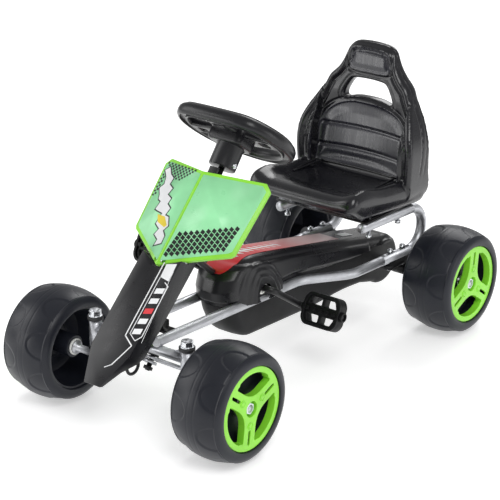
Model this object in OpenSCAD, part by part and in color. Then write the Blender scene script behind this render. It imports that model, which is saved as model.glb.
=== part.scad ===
// Child's pedal go kart: tubular steel frame, moulded wheels, enclosed chain drive.
// +Z is up, the front points along -Y, the driver's left is +X.
// Lengths along the kart are first measured back from the front axle, then shifted.

/* [Wheels] */
// Radius of each of the four wheels
wheel_r = 90; // [86:1:94]
// Width of each tyre
tyre_w = 93; // [90:1:96]
// Distance of each tyre's middle plane from the centre line
track_half = 170; // [168:1:174]
// Distance between the front and the rear axle
wheelbase = 595; // [585:1:605]
// Radius of the lime rim ring
rim_r = 65; // [64:0.5:66]
// Radius of both axles
axle_r = 6; // [5:0.5:6]

/* [Frame] */
// Radius of the frame rails
rail_r = 8; // [7:0.5:8.5]
// Half the distance between the rails at the front
rail_front_x = 37.5; // [36:0.5:39]
// Half the distance between the rails at the back
rail_rear_x = 84; // [82:0.5:85]
// Height of the rail centres above the front axle line
rail_front_z = 149; // [147:0.5:151]
// Slope of the rails, falling towards the back, in degrees
rail_slope = 2.75; // [2.5:0.05:3]
// Distance of each kingpin from the centre line
kingpin_x = 91.8; // [90:0.1:93]

/* [Steering] */
// Slope of the steering column from the ground, in degrees
column_slope = 52; // [51:0.5:53]
// Radius of the steering column
column_r = 5; // [4.5:0.25:5]
// Outer radius of the steering wheel
steer_r = 98; // [92:1:102]
// Throw of the crank plate at the foot of the column
steer_throw = 26.5; // [25:0.5:28]
// Length of the steering arm on each knuckle
knuckle_arm = 40; // [39:0.5:42]

/* [Drive] */
// Teeth on the front chainring
ring_teeth = 20; // [19:1:20]
// Teeth on the rear sprocket
sprocket_teeth = 14; // [13:1:14]
// Pitch of the chain
chain_pitch = 12.7; // [12.5:0.1:12.7]
// Height of the crank axle above the ground
crank_z = 158; // [156:1:160]
// Throw of each crank arm
crank_throw = 86; // [82:1:88]
// Rest angle of the left crank arm, below the rearward horizontal
crank_rest = 34; // [0:1:60]
// Rest angle of the pedals, back edge raised
pedal_rest = 64; // [0:1:80]

/* [Seat] */
// Half the width of the seat pan
pan_half = 110; // [106:1:112]
// Lean of the backrest from the vertical, in degrees
back_lean = 8.8; // [8:0.2:9.4]

/* [Body] */
// Distance that the nose reaches ahead of the front axle
nose_overhang = 110; // [108:1:112]
// Angle that each half of the number plate is swept back
plate_sweep = 19.5; // [18.5:0.1:20.5]

/* [Hidden] */
$fn = 64;
fit = 0.05;

front_axle_y = -(wheelbase + wheel_r - nose_overhang) / 2;

// Wheels
half_w = tyre_w / 2;
bush_r = 9;
bush_flange_r = 13;
hub_r = 18;
hub_in = -32;
hub_out = 27;
ring_face = half_w - 2.7;
ring_in_r = 54.5;
ring_t = 3;
hub_plate_a = hub_out + 1.2;
hub_plate_t = 4;
nut_a = hub_plate_a + hub_plate_t;
axle_end = nut_a + 9;
spoke_a = 37;
spoke_t = 5;
spoke_half = 13;
hub_cup_r = 16;
nut_room = 12.5;

// Front end
sleeve_bottom = 104;
sleeve_top = 150;
sleeve_r = 10;
sleeve_bore = 8;
kingpin_top = 166;
beam_z = 134;
arm_z = 97;
arm_t = 5;

// Rails: y where the outward bend starts, its radius and its angle
bend_y = 334;
bend_r = 60;
bend_angle = 30;
bend_lap = 0.6;
bend_swell = 0.03;
bend_side = rail_rear_x - rail_front_x - 2 * bend_r * (1 - cos(bend_angle));
bend_run = bend_side / sin(bend_angle);
bend_end_y = bend_y + 2 * bend_r * sin(bend_angle) + bend_run * cos(bend_angle);
rail_end = 590;
rail_drop = tan(rail_slope);
function rail_z(y) = rail_front_z - rail_drop * y;

// Seat bracket: its lower leg sleeves over the swaged end of the rail
bracket_r = 8.5;
swage_r = 6.5;
bracket_start = 515;
hoop_r = 37;
hoop_y = 594;
bracket_bolt_y = [540, 576];
seat_bolt_y = [475, 560];
bracket_top_z = rail_z(hoop_y) + 2 * hoop_r;
seat_plate_y = 455;
mount_z = rail_z(seat_plate_y) + (2 * hoop_r + bracket_r) / cos(rail_slope) + 0.3;
bearing_top_z = 111;

// Steering column: crank plate centre on the column axis
column_dir = [0, cos(column_slope), sin(column_slope)];
crank_back = [0, sin(column_slope), -cos(column_slope)];
column_foot = [0, 7, 120];
column_tip = -6;
column_len = 322;
lower_bearing = [32, 60];
upper_bearing = [150, 178];
plate_bar_top = 300;
strut_hoop_y = 188;
strut_hoop_z = 181;
boss_start = 305;
boss_len = 36;
steer_plane = 366;
strut_top = column_foot + (upper_bearing[0] + 14) * column_dir;
pin_r = 4;
eye_hole_r = pin_r + 2.8;
eye_r = 10.5;
eye_t = 4;
left_eye_t = 6.8;
right_eye_t = 13.4;

// Chain drive
chain_links = 74;
ring_pcr = chain_pitch / sin(180 / ring_teeth) / 2;
sprocket_pcr = chain_pitch / sin(180 / sprocket_teeth) / 2;
link_diff = (ring_teeth - sprocket_teeth) / 2 / PI;
link_span = chain_links - (ring_teeth + sprocket_teeth) / 2;
chain_centres = chain_pitch / 4 * (link_span + sqrt(link_span * link_span - 2 * link_diff * link_diff * 4));
drive_dz = crank_z - wheel_r;
crank_y = wheelbase - sqrt(chain_centres * chain_centres - drive_dz * drive_dz);
chain_slope = atan(drive_dz / (wheelbase - crank_y));
wrap_lean = asin((ring_pcr - sprocket_pcr) / chain_centres);
roller_r = 3.9;
link_h = 4.4;
crank_r = 5.5;
crank_arm_x = 66;
crank_bend_r = 10;
crank_end_x = 152;
crank_eye = [0, crank_throw * cos(crank_rest), -crank_throw * sin(crank_rest)];
pedal_w = 70;
pedal_d = 54;
pedal_h = 22;
pedal_x = 114;

// Chain case
case_half = 34;
case_wall = 2.5;
case_front_r = 62;
case_front = [228, 147];
drum_r = 44;
drum_half = 20;
arch_half = 52;
arch_r = 62;
arch_centre = [228, 138];
split_gap = 0.4;

// Number plate, measured from the foot of its ridge
plate_foot = [0, 37.8, 250.6];
plate_slope = 45.8;
plate_t = 3;
plate_rim = 8;
plate_outline = [[0, 0], [101, 55], [104.5, 60], [110.5, 172], [99.5, 181.5], [0, 163]];
inset_outline = [[3, 8], [94.5, 58.5], [98.5, 63], [104.5, 169], [96, 175.5], [3, 158]];
plate_pocket = [[-9, 4], [98, 58.5], [101.5, 62.5], [107.5, 170], [97.5, 177.5], [-9, 157]];
plate_room = [[-40, -2], [0, -2], [103, 53], [108, 60], [113, 186], [-40, 186]];

// Nose fairing
nose_slope = 43;
nose_top_s = 250;
nose_half = 38;
nose_wall = 2.5;

// ---------------------------------------------------------------- helpers

// Moves a child from front-axle coordinates to the part's own origin
module kart() {
    translate([0, front_axle_y, 0]) children();
}

// A round bar from p to q
module rod(p, q, r) {
    d = q - p;
    len = norm(d);
    translate(p)
        rotate([0, acos(d.z / len), atan2(d.y, d.x)])
            cylinder(h = len, r = r);
}

// Runs its child along +X on the given side: 1 is left, -1 is right
module side(s) {
    if (s > 0) children();
    else mirror([1, 0, 0]) children();
}

// Turns the child's XY outline into a slab that lies in the YZ plane, centred on x = 0
module slab(width) {
    rotate([90, 0, 90]) linear_extrude(height = width, center = true) children();
}

// Places a child whose Z axis becomes the outward wheel axis
module wheel_axis(s, y) {
    translate([s * track_half, y, wheel_r]) rotate([0, s * 90, 0]) children();
}

// Places a child whose Z axis becomes the steering column's axis, X stays sideways
module on_column(t) {
    translate(column_foot + t * column_dir) rotate([column_slope - 90, 0, 0]) children();
}

module hex_nut(r, h, bore) {
    difference() {
        cylinder(h = h, r = r, $fn = 6);
        translate([0, 0, -1]) cylinder(h = h + 2, r = bore);
    }
}

module ring(r_out, r_in, h) {
    difference() {
        cylinder(h = h, r = r_out);
        translate([0, 0, -1]) cylinder(h = h + 2, r = r_in);
    }
}

// Points on an arc about a centre, from one angle to another in n steps
function arc(centre, r, from, to, n) =
    [for (i = [0:n]) let (a = from + (to - from) * i / n) centre + r * [cos(a), sin(a)]];

// A loop outline around two circles joined by their outer tangents
module belt(r1, r2, span) {
    lean = asin((r1 - r2) / span);
    polygon(concat(
        arc([0, 0], r1, 90 - lean, 270 + lean, 30),
        arc([span, 0], r2, lean - 90, 90 - lean, 24)
    ));
}

// Puts the chain's own plane (x towards the sprocket, y up) into the kart
module on_chain() {
    translate([0, crank_y, crank_z]) rotate([90, 0, 90]) rotate([0, 0, -chain_slope]) children();
}

// ---------------------------------------------------------------- frame

// Works in the plane of the rails: x sideways, y back along the slope
module rail_plane() {
    translate([0, 0, rail_front_z]) rotate([-rail_slope, 0, 0]) children();
}

// A bent length of bar in the XY plane, a hair fatter than the straights it laps at each end
module bend(radius, angle, r) {
    rotate([0, 0, -bend_lap]) rotate_extrude(angle = angle + 2 * bend_lap)
        translate([radius, 0]) circle(r = r + bend_swell);
}

module along_y(x, y0, y1, r) {
    translate([x, y0, 0]) rotate([-90, 0, 0]) cylinder(h = y1 - y0, r = r);
}

// Left rail at radius r, bent outwards beside the crank, its back end at radius r_end
module rail_solid(r, r_end) {
    sweep = bend_r * [1 - cos(bend_angle), sin(bend_angle)];
    rail_plane() {
        along_y(rail_front_x, -8, bend_y, r);
        translate([rail_front_x + bend_r, bend_y, 0]) rotate([0, 0, 180 - bend_angle])
            bend(bend_r, bend_angle, r);
        translate([rail_front_x + sweep.x, bend_y + sweep.y, 0]) rotate([0, 0, -bend_angle])
            along_y(0, 0, bend_run, r);
        translate([rail_rear_x - bend_r, bend_end_y, 0]) rotate([0, 0, -bend_angle])
            bend(bend_r, bend_angle, r);
        along_y(rail_rear_x, bend_end_y, bracket_start, r);
        along_y(rail_rear_x, bracket_start - 1, rail_end, r_end);
    }
}

module rail_bolt_holes() {
    for (y = bracket_bolt_y)
        translate([rail_rear_x, y, 60]) cylinder(h = 90, r = 3.1);
}

module frame_rail(s) {
    color("silver") kart() side(s) difference() {
        rail_solid(rail_r, swage_r);
        rod([0, 0, beam_z], [120, 0, beam_z], rail_r);
        rail_bolt_holes();
    }
}

module front_beam() {
    color("silver") kart() difference() {
        rod([-kingpin_x, 0, beam_z], [kingpin_x, 0, beam_z], rail_r);
        for (s = [-1, 1])
            translate([s * kingpin_x, 0, sleeve_bottom]) cylinder(h = 60, r = sleeve_r);
        on_column(0) cylinder(h = 60, r = column_r + 1.5, center = true);
        on_column(-2) cylinder(h = 8, r = 10.5);
    }
}

module kingpin_sleeve(s) {
    color("silver") kart() {
        translate([s * kingpin_x, 0, sleeve_bottom]) ring(sleeve_r, sleeve_bore, sleeve_top - sleeve_bottom);
        // Gusset down to the beam
        side(s) difference() {
            translate([kingpin_x - 26, 2, beam_z + rail_r - 1]) rotate([90, 0, 0])
                linear_extrude(height = 4) polygon([[0, 0], [18, 0], [18, 9]]);
            rod([0, 0, beam_z], [120, 0, beam_z], rail_r);
            translate([kingpin_x, 0, sleeve_bottom]) cylinder(h = 60, r = sleeve_r - 1);
        }
    }
}

module column_lower_bracket() {
    t0 = lower_bearing[0];
    t1 = lower_bearing[1];
    bar_y = 30;
    color([0.1, 0.1, 0.11]) kart() difference() {
        union() {
            on_column(t0) cylinder(h = t1 - t0, r = 11);
            translate([-rail_front_x, bar_y, rail_z(bar_y) - 2]) cube([2 * rail_front_x, 18, 5]);
            translate([-16, bar_y, rail_z(bar_y) - 2]) cube([32, 18, 16]);
        }
        on_column(0) cylinder(h = 100, r = 7.5);
        for (s = [-1, 1]) side(s) rail_solid(rail_r, rail_r);
    }
}

// Brace from a hoop inside the chain case up to the column's upper bearing
module column_strut() {
    leg_low = rail_z(strut_hoop_y);
    color([0.1, 0.1, 0.11]) kart() difference() {
        union() {
            on_column(upper_bearing[0]) cylinder(h = upper_bearing[1] - upper_bearing[0], r = 11);
            rod(strut_top, [0, strut_hoop_y, strut_hoop_z], 5);
            translate([-31, strut_hoop_y - 7, strut_hoop_z - 3]) cube([62, 14, 4]);
            for (s = [-1, 1]) side(s)
                translate([27, strut_hoop_y - 7, leg_low]) cube([4, 14, strut_hoop_z - leg_low + 1]);
        }
        on_column(upper_bearing[0] - 10) cylinder(h = 60, r = 7.5);
        for (s = [-1, 1]) side(s) rail_solid(rail_r, rail_r);
    }
}

// Bent rod under the nose that guards the foot of the column
module column_foot_loop() {
    loop_r = 13;
    loop_at = [-19, 104];
    color([0.1, 0.1, 0.11]) kart() {
        translate([0, loop_at[0], loop_at[1]]) rotate([90, 0, 90]) rotate([0, 0, 180])
            rotate_extrude(angle = 180) translate([loop_r, 0]) circle(r = 2.5);
        for (m = [-1, 1])
            translate([0, loop_at[0] + m * loop_r, loop_at[1]]) cylinder(h = 15, r = 2.5);
    }
}

// Bar beside the column, with arms that carry the number plate
module plate_bracket() {
    color([0.1, 0.1, 0.11]) kart() difference() {
        union() {
            on_column(upper_bearing[0]) translate([-8, -18, 0]) cube([16, 4, plate_bar_top - upper_bearing[0]]);
            on_column(upper_bearing[0] + 2) translate([-5, -15, 0]) cube([10, 6, 24]);
            for (t = [175, 235])
                on_column(t) translate([0, -17, 0]) rotate([90, 0, 0]) cylinder(h = 60, r = 4);
        }
        on_column(upper_bearing[0] - 5) cylinder(h = 60, r = 11);
        for (s = [-1, 1]) side(s)
            plate_half([[-12, -10], [110, -10], [110, 180], [-12, 180]], -plate_t, 60);
    }
}

module column_bushes() {
    color("whitesmoke") kart()
        for (b = [lower_bearing, upper_bearing])
            on_column(b[0]) {
                ring(7.5, column_r + fit, b[1] - b[0]);
                translate([0, 0, b[1] - b[0]]) ring(10, column_r + fit, 2);
            }
}

// ---------------------------------------------------------------- seat and its brackets

module seat_bolt_holes(z, h) {
    for (y = seat_bolt_y) translate([rail_rear_x, y, z]) cylinder(h = h, r = 3.1);
}

module seat_bracket(s) {
    leg_end = hoop_y / cos(rail_slope);
    color("silver") kart() side(s) difference() {
        rail_plane() {
            along_y(rail_rear_x, bracket_start, leg_end, bracket_r);
            translate([rail_rear_x, leg_end, hoop_r]) rotate([90, 0, 90]) rotate([0, 0, -90])
                bend(hoop_r, 180, bracket_r);
            translate([0, 0, 2 * hoop_r]) along_y(rail_rear_x, 450, leg_end, bracket_r);
        }
        rail_plane() along_y(rail_rear_x, bracket_start - 1, rail_end, swage_r + fit);
        rail_bolt_holes();
        seat_bolt_holes(bracket_top_z - 30, 60);
    }
}

module seat_bracket_bolts() {
    color([0.75, 0.76, 0.78]) kart() for (s = [-1, 1]) side(s) for (y = bracket_bolt_y)
        translate([rail_rear_x, y, 0]) {
            z_top = rail_z(y) + bracket_r;
            z_low = bearing_top_z - 6;
            translate([0, 0, z_low - 3]) cylinder(h = z_top - z_low + 10, r = 3);
            translate([0, 0, z_top + 0.3]) hex_nut(5.5, 5, 3);
            translate([0, 0, z_low - 4.2]) cylinder(h = 4, r = 5.5, $fn = 6);
        }
}

module seat_mount_plate() {
    color([0.1, 0.1, 0.11]) kart() difference() {
        translate([-94, seat_plate_y, mount_z]) cube([188, 130, 3]);
        for (s = [-1, 1]) side(s) seat_bolt_holes(mount_z - 5, 20);
    }
}

module seat_bolts() {
    color([0.75, 0.76, 0.78]) kart() for (s = [-1, 1]) side(s) for (y = seat_bolt_y)
        translate([rail_rear_x, y, 0]) {
            translate([0, 0, mount_z - 2 * bracket_r - 11]) cylinder(h = 2 * bracket_r + 26, r = 3);
            translate([0, 0, mount_z - 2 * bracket_r - 13]) cylinder(h = 4, r = 5.5, $fn = 6);
        }
}

pan_side = [
    [406, 236], [396, 246], [394, 262], [402, 276], [418, 283], [440, 283],
    [500, 270], [545, 261], [590, 261], [592, 240], [588, 216], [575, 212], [425, 231]
];
pan_scoop = [[404, 300], [408, 268], [424, 260], [530, 248], [556, 250], [562, 300]];
back_outline = [
    [0, 226], [88, 226], [104, 250], [114, 285], [115, 318], [108, 342], [94, 366], [91, 384],
    [85, 402], [58, 424], [50, 444], [44, 461], [34, 468], [0, 470]
];
back_opening = [[0, 374], [42, 370], [44, 384], [36, 406], [30, 412], [0, 414]];
wing_side = [[550, 246], [546, 290], [550, 325], [566, 365], [584, 402], [602, 396], [594, 300], [588, 246]];

module seat_shell() {
    color([0.08, 0.08, 0.09]) kart() difference() {
        union() {
            // Seat pan with raised side bolsters, on a block that takes the bolts
            difference() {
                slab(2 * pan_half) polygon(pan_side);
                slab(2 * (pan_half - 20)) polygon(pan_scoop);
            }
            translate([-96, 450, mount_z + 3.2]) cube([192, 136, 34]);
            // Leaning backrest with a grab opening under the headrest
            translate([0, 558, 240]) rotate([-back_lean, 0, 0]) translate([0, 0, -240])
                rotate([90, 0, 0]) mirror([0, 0, 1]) linear_extrude(height = 24) difference() {
                    for (s = [0, 1]) mirror([s, 0]) polygon(back_outline);
                    for (s = [0, 1]) mirror([s, 0]) polygon(back_opening);
                }
            // Side wings that wrap round the driver
            for (s = [-1, 1]) side(s) intersection() {
                translate([98, 0, 0]) slab(34) polygon(wing_side);
                translate([0, 500, 0]) rotate([-90, 0, 0]) mirror([0, 1, 0])
                    linear_extrude(height = 130) polygon(back_outline);
            }
        }
        for (s = [-1, 1]) side(s) seat_bolt_holes(mount_z, 21);
        // Room for the mounting plate
        translate([-95, seat_plate_y - 5, mount_z - 10]) cube([190, 140, 13.2]);
    }
}

// ---------------------------------------------------------------- nose and number plate

// Side view of the fairing: s runs up the slope from the nose tip
module nose_frame() {
    translate([0, -nose_overhang, 108]) rotate([nose_slope, 0, 0]) children();
}

module nose_fairing() {
    top = nose_top_s;
    face = [[-15.6, 0], [15.6, 0], [nose_half, 58], [nose_half, top], [-nose_half, top], [-nose_half, 58]];
    tip_in = 15.6 - nose_wall;
    in = nose_half - nose_wall;
    color([0.09, 0.09, 0.1]) kart() difference() {
        intersection() {
            nose_frame() translate([0, 0, -34]) linear_extrude(height = 34) polygon(face);
            slab(100) polygon([
                [-nose_overhang, 112], [-nose_overhang, 107], [-104, 106], [-76, 122], [-30, 134],
                [-14, 145], [180, 330], [180, 400], [-60, 180]
            ]);
        }
        nose_frame() translate([0, 0, -40 - nose_wall]) linear_extrude(height = 40)
            polygon([[-tip_in, 5], [tip_in, 5], [in, 59], [in, top + 1], [-in, top + 1], [-in, 59]]);
        for (s = [-1, 1]) side(s) {
            rail_solid(rail_r + 1, rail_r);
            // Room for the number plate that lies on the nose
            plate_half(plate_room, -plate_rim - 1, 60);
        }
    }
}

module plate_half(outline, depth, t) {
    translate(plate_foot) rotate([plate_slope, 0, 0]) rotate([0, plate_sweep, 0])
        translate([0, 0, depth]) linear_extrude(height = t) polygon(outline);
}

module number_plate() {
    color([0.55, 0.95, 0.3]) kart() difference() {
        for (s = [-1, 1]) side(s) plate_half(plate_outline, -plate_rim, plate_rim);
        for (s = [-1, 1]) side(s) plate_half(plate_pocket, -plate_rim - 1, plate_rim - plate_t + 1);
    }
}

module plate_panels() {
    color([0.68, 0.95, 0.7]) kart() for (s = [-1, 1]) side(s) plate_half(inset_outline, 0, 0.5);
}

// ---------------------------------------------------------------- chain case

module case_outline(grow) {
    polygon(concat(
        arc(case_front, case_front_r + grow, 81, 267, 31),
        [[360, 79 - grow], [530, 65 - grow]],
        arc([wheelbase, wheel_r], drum_r + grow, 240, 438, 33),
        [[440, 168 + grow], [265, 204 + grow]]
    ));
}

module case_body(grow, half, drum) {
    drum_front = wheelbase - drum_r - 50 + grow;
    intersection() {
        slab(2 * half) case_outline(grow);
        union() {
            slab(2 * half) square([drum_front, 400]);
            slab(2 * drum) translate([drum_front - 1, 0]) square([300, 400]);
        }
    }
}

module above_rails(sign) {
    z0 = rail_z(0);
    z1 = rail_z(700);
    slab(200)
        if (sign > 0) polygon([[0, z0 - split_gap], [700, z1 - split_gap], [700, 400], [0, 400]]);
        else polygon([[0, z0 + split_gap], [700, z1 + split_gap], [700, -10], [0, -10]]);
}

// Skirt that arches over the rails and the crank bearings
module arch_body(grow) {
    intersection() {
        slab(2 * (arch_half + grow)) translate(arch_centre) circle(r = arch_r + grow);
        slab(2 * (arch_half + grow)) translate([150, 90]) square([147, 200]);
    }
}

module case_shell(sign) {
    difference() {
        union() {
            case_body(0, case_half, drum_half);
            if (sign > 0) arch_body(0);
        }
        case_body(-case_wall, case_half - case_wall, drum_half - case_wall);
        if (sign > 0) arch_body(-case_wall);
        above_rails(-sign);
        for (s = [-1, 1]) rail_plane() along_y(s * rail_front_x, -10, 800, rail_r + 0.6);
        translate([-150, crank_y, crank_z]) rotate([0, 90, 0]) cylinder(h = 300, r = crank_r + 3);
        translate([-150, wheelbase, wheel_r]) rotate([0, 90, 0]) cylinder(h = 300, r = axle_r + 2);
        // Clearance round the strut that carries the column
        rod(strut_top, [0, strut_hoop_y, strut_hoop_z], 7);
    }
}

module chain_case_cover() {
    color([0.11, 0.11, 0.12]) kart() case_shell(1);
}

module chain_case_tray() {
    color([0.12, 0.12, 0.13]) kart() case_shell(-1);
}

// Outline points along the top of the cover, from low on its rounded front to the back of the panel
function cover_top(grow) = concat(
    [[430, 170 + grow], [265, 204 + grow]],
    arc(case_front, case_front_r + grow, 81, 141, 10)
);

module case_panel() {
    inner = cover_top(0.15);
    outer = cover_top(0.65);
    last = len(inner) - 1;
    color([0.85, 0.1, 0.12]) kart() difference() {
        slab(44) polygon(concat(outer, [for (i = [last:-1:0]) inner[i]]));
        rod(strut_top, [0, strut_hoop_y, strut_hoop_z], 7);
    }
}

// ---------------------------------------------------------------- drive

module crank_bearing_blocks() {
    color([0.16, 0.16, 0.17]) kart() for (s = [-1, 1]) side(s) difference() {
        union() {
            translate([32, crank_y, crank_z]) rotate([0, 90, 0]) cylinder(h = 12, r = 13);
            translate([32, crank_y - 13, rail_z(crank_y)]) cube([12, 26, crank_z - rail_z(crank_y)]);
        }
        translate([31, crank_y, crank_z]) rotate([0, 90, 0]) cylinder(h = 14, r = 8);
        rail_solid(rail_r, rail_r);
    }
}

module crank_bushes() {
    color("whitesmoke") kart() for (s = [-1, 1]) side(s)
        translate([32, crank_y, crank_z]) rotate([0, 90, 0]) {
            ring(8, crank_r + fit, 12);
            translate([0, 0, 12]) ring(11, crank_r + fit, 2);
        }
}

module rear_bearing(s) {
    color([0.1, 0.1, 0.11]) kart() side(s) difference() {
        union() {
            translate([59, wheelbase, wheel_r]) rotate([0, 90, 0]) cylinder(h = 26, r = 16);
            translate([59, 528, bearing_top_z - 6]) cube([34, 83, 6]);
            translate([60, 575, wheel_r]) cube([17, 36, bearing_top_z - wheel_r - 3]);
            translate([rail_rear_x - 7, 530, bearing_top_z - 3])
                cube([14, 54, rail_z(556) - bearing_top_z + 3]);
        }
        translate([58, wheelbase, wheel_r]) rotate([0, 90, 0]) cylinder(h = 30, r = 9);
        rail_plane() along_y(rail_rear_x, 400, 700, bracket_r);
        rail_bolt_holes();
    }
}

module rear_axle_bushes() {
    color("whitesmoke") kart() for (s = [-1, 1]) side(s)
        translate([59, wheelbase, wheel_r]) rotate([0, 90, 0]) {
            ring(9, axle_r + fit, 26);
            translate([0, 0, -2]) ring(13, axle_r + fit, 2);
        }
}

// Lengths of the chain's straight runs and of its wraps round the two toothed wheels
chain_run = chain_centres * cos(wrap_lean);
far_wrap = sprocket_pcr * (180 - 2 * wrap_lean) * PI / 180;
near_wrap = ring_pcr * (180 + 2 * wrap_lean) * PI / 180;

function heading(a) = [cos(a), sin(a)];

// The point a distance d along the chain's loop, from the top of the chainring
function on_loop(d) =
    d < chain_run ?
        ring_pcr * heading(90 - wrap_lean) + d * heading(-wrap_lean)
    : d < chain_run + far_wrap ?
        [chain_centres, 0] + sprocket_pcr * heading(90 - wrap_lean - (d - chain_run) / sprocket_pcr * 180 / PI)
    : d < 2 * chain_run + far_wrap ?
        ring_pcr * heading(wrap_lean - 90) + (2 * chain_run + far_wrap - d) * heading(wrap_lean)
    :
        ring_pcr * heading(wrap_lean - 90 - (d - 2 * chain_run - far_wrap) / ring_pcr * 180 / PI);

// Side plates and rollers of the chain, standing where it runs
module drive_chain() {
    plate_t = 1.2;
    roller_half = 2.1;
    loop_len = 2 * chain_run + far_wrap + near_wrap;
    color([0.35, 0.35, 0.37]) kart() on_chain() {
        for (z = [-roller_half - plate_t + 0.1, roller_half - 0.1])
            translate([0, 0, z]) linear_extrude(height = plate_t) difference() {
                belt(ring_pcr + link_h, sprocket_pcr + link_h, chain_centres);
                belt(ring_pcr - link_h, sprocket_pcr - link_h, chain_centres);
            }
        for (i = [0:chain_links - 1])
            translate(concat(on_loop((i + 0.5) * loop_len / chain_links), -roller_half))
                cylinder(h = 2 * roller_half, r = roller_r);
    }
}

module toothed_disc(teeth, pcr, t) {
    tip = pcr - roller_r - 0.6;
    root = tip - 4.5;
    linear_extrude(height = t, center = true) {
        circle(r = root);
        for (i = [0:teeth - 1]) rotate(i * 360 / teeth)
            polygon([[root - 1, -3.2], [root + 1, -3], [tip - 0.2, -1.2],
                [tip - 0.2, 1.2], [root + 1, 3], [root - 1, 3.2]]);
    }
}

module on_crank() {
    translate([0, crank_y, crank_z]) rotate([0, 90, 0]) children();
}

module chainring() {
    color([0.5, 0.5, 0.52]) kart() on_crank() difference() {
        union() {
            toothed_disc(ring_teeth, ring_pcr, 2.6);
            cylinder(h = 16, r = 13, center = true);
        }
        cylinder(h = 40, r = crank_r, center = true);
        for (i = [0:4]) rotate(i * 72) translate([21, 0, 0]) cylinder(h = 10, r = 5, center = true);
    }
}

module rear_sprocket() {
    color([0.5, 0.5, 0.52]) kart() translate([0, wheelbase, wheel_r]) rotate([0, 90, 0]) difference() {
        union() {
            toothed_disc(sprocket_teeth, sprocket_pcr, 2.6);
            cylinder(h = 20, r = 12, center = true);
        }
        cylinder(h = 40, r = axle_r, center = true);
    }
}

// Half of the bent crank, in the plane of its arm: x sideways, y along the arm
module crank_half() {
    b = crank_bend_r;
    rotate([0, 90, 0]) cylinder(h = crank_arm_x - b, r = crank_r);
    translate([crank_arm_x - b, b, 0]) rotate([0, 0, -90])
        rotate_extrude(angle = 90) translate([b, 0]) circle(r = crank_r);
    along_y(crank_arm_x, b, crank_throw - b, crank_r);
    translate([crank_arm_x + b, crank_throw - b, 0]) rotate([0, 0, 90])
        rotate_extrude(angle = 90) translate([b, 0]) circle(r = crank_r);
    translate([crank_arm_x + b, crank_throw, 0]) rotate([0, 90, 0])
        cylinder(h = crank_end_x - crank_arm_x - b, r = crank_r);
}

module crank() {
    color([0.1, 0.1, 0.11]) kart() translate([0, crank_y, crank_z]) rotate([-crank_rest, 0, 0]) {
        crank_half();
        rotate([0, 0, 180]) crank_half();
    }
}

// Open-treaded block pedal on the crank's end, and its end cap
module pedal_block() {
    corner = 14;
    cage = pedal_w / 2;
    difference() {
        union() {
            translate([-cage, -pedal_d / 2 + corner, -pedal_h / 2])
                cube([pedal_w, pedal_d - 2 * corner, pedal_h]);
            translate([-cage + corner, -pedal_d / 2, -pedal_h / 2])
                cube([pedal_w - 2 * corner, pedal_d, pedal_h]);
            for (x = [-1, 1], y = [-1, 1])
                translate([x * (cage - corner), y * (pedal_d / 2 - corner), -pedal_h / 2])
                    cylinder(h = pedal_h, r = corner);
        }
        for (y = [-1, 1]) translate([0, y * 17, 0]) {
            translate([-17, 0, 0]) cube([24, 15, 40], center = true);
            translate([15, 0, 0]) cube([24, 15, 40], center = true);
        }
        rotate([0, 90, 0]) cylinder(h = 200, r = crank_r + fit, center = true);
    }
}

module pedal(s) {
    color([0.09, 0.09, 0.1]) kart() translate([0, crank_y, crank_z])
        translate([s * pedal_x, s * crank_eye.y, s * crank_eye.z]) rotate([pedal_rest, 0, 0]) pedal_block();
}

module rear_axle() {
    reach = track_half + axle_end;
    color("silver") kart() translate([0, wheelbase, wheel_r]) rotate([0, 90, 0])
        cylinder(h = 2 * reach, r = axle_r, center = true);
}

// ---------------------------------------------------------------- steering

module steering_column() {
    color([0.1, 0.1, 0.11]) kart() {
        on_column(column_tip) cylinder(h = column_len - column_tip, r = column_r);
        // Crank plate and its pin
        on_column(0) {
            linear_extrude(height = 5) {
                circle(r = 9);
                translate([-8, 0]) square([16, steer_throw]);
                translate([0, steer_throw]) circle(r = 9);
            }
            translate([0, steer_throw, -24]) cylinder(h = 25, r = pin_r);
        }
    }
}

module steering_pin_nut() {
    color([0.75, 0.76, 0.78]) kart() on_column(-22.5) translate([0, steer_throw, 0]) hex_nut(8, 5, pin_r);
}

module steering_wheel() {
    rim = 11;
    path_r = steer_r - rim;
    color([0.1, 0.1, 0.11]) kart() difference() {
        union() {
            on_column(boss_start) cylinder(h = boss_len, r = 22);
            on_column(boss_start + boss_len - 1) cylinder(h = steer_plane - boss_start - boss_len + 1, r = 26);
            on_column(steer_plane) rotate_extrude() translate([path_r, 0]) circle(r = rim);
            on_column(steer_plane - 4) for (a = [0, 180, 270]) rotate(a)
                translate([0, -16, -6]) cube([path_r, 32, 10]);
        }
        on_column(boss_start - 1) cylinder(h = column_len - boss_start + 1, r = column_r);
        on_column(boss_start + 8) rotate([0, 90, 0]) cylinder(h = 60, r = 2.6, center = true);
    }
}

module steering_cap() {
    color([0.14, 0.14, 0.15]) kart() on_column(steer_plane) cylinder(h = 5, r = 22);
}

module steering_bolt() {
    color([0.75, 0.76, 0.78]) kart() on_column(boss_start + 8) {
        for (s = [-1, 1]) side(s) translate([5, 0, 0]) rotate([0, 90, 0]) cylinder(h = 20, r = 2.5);
    }
}

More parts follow.
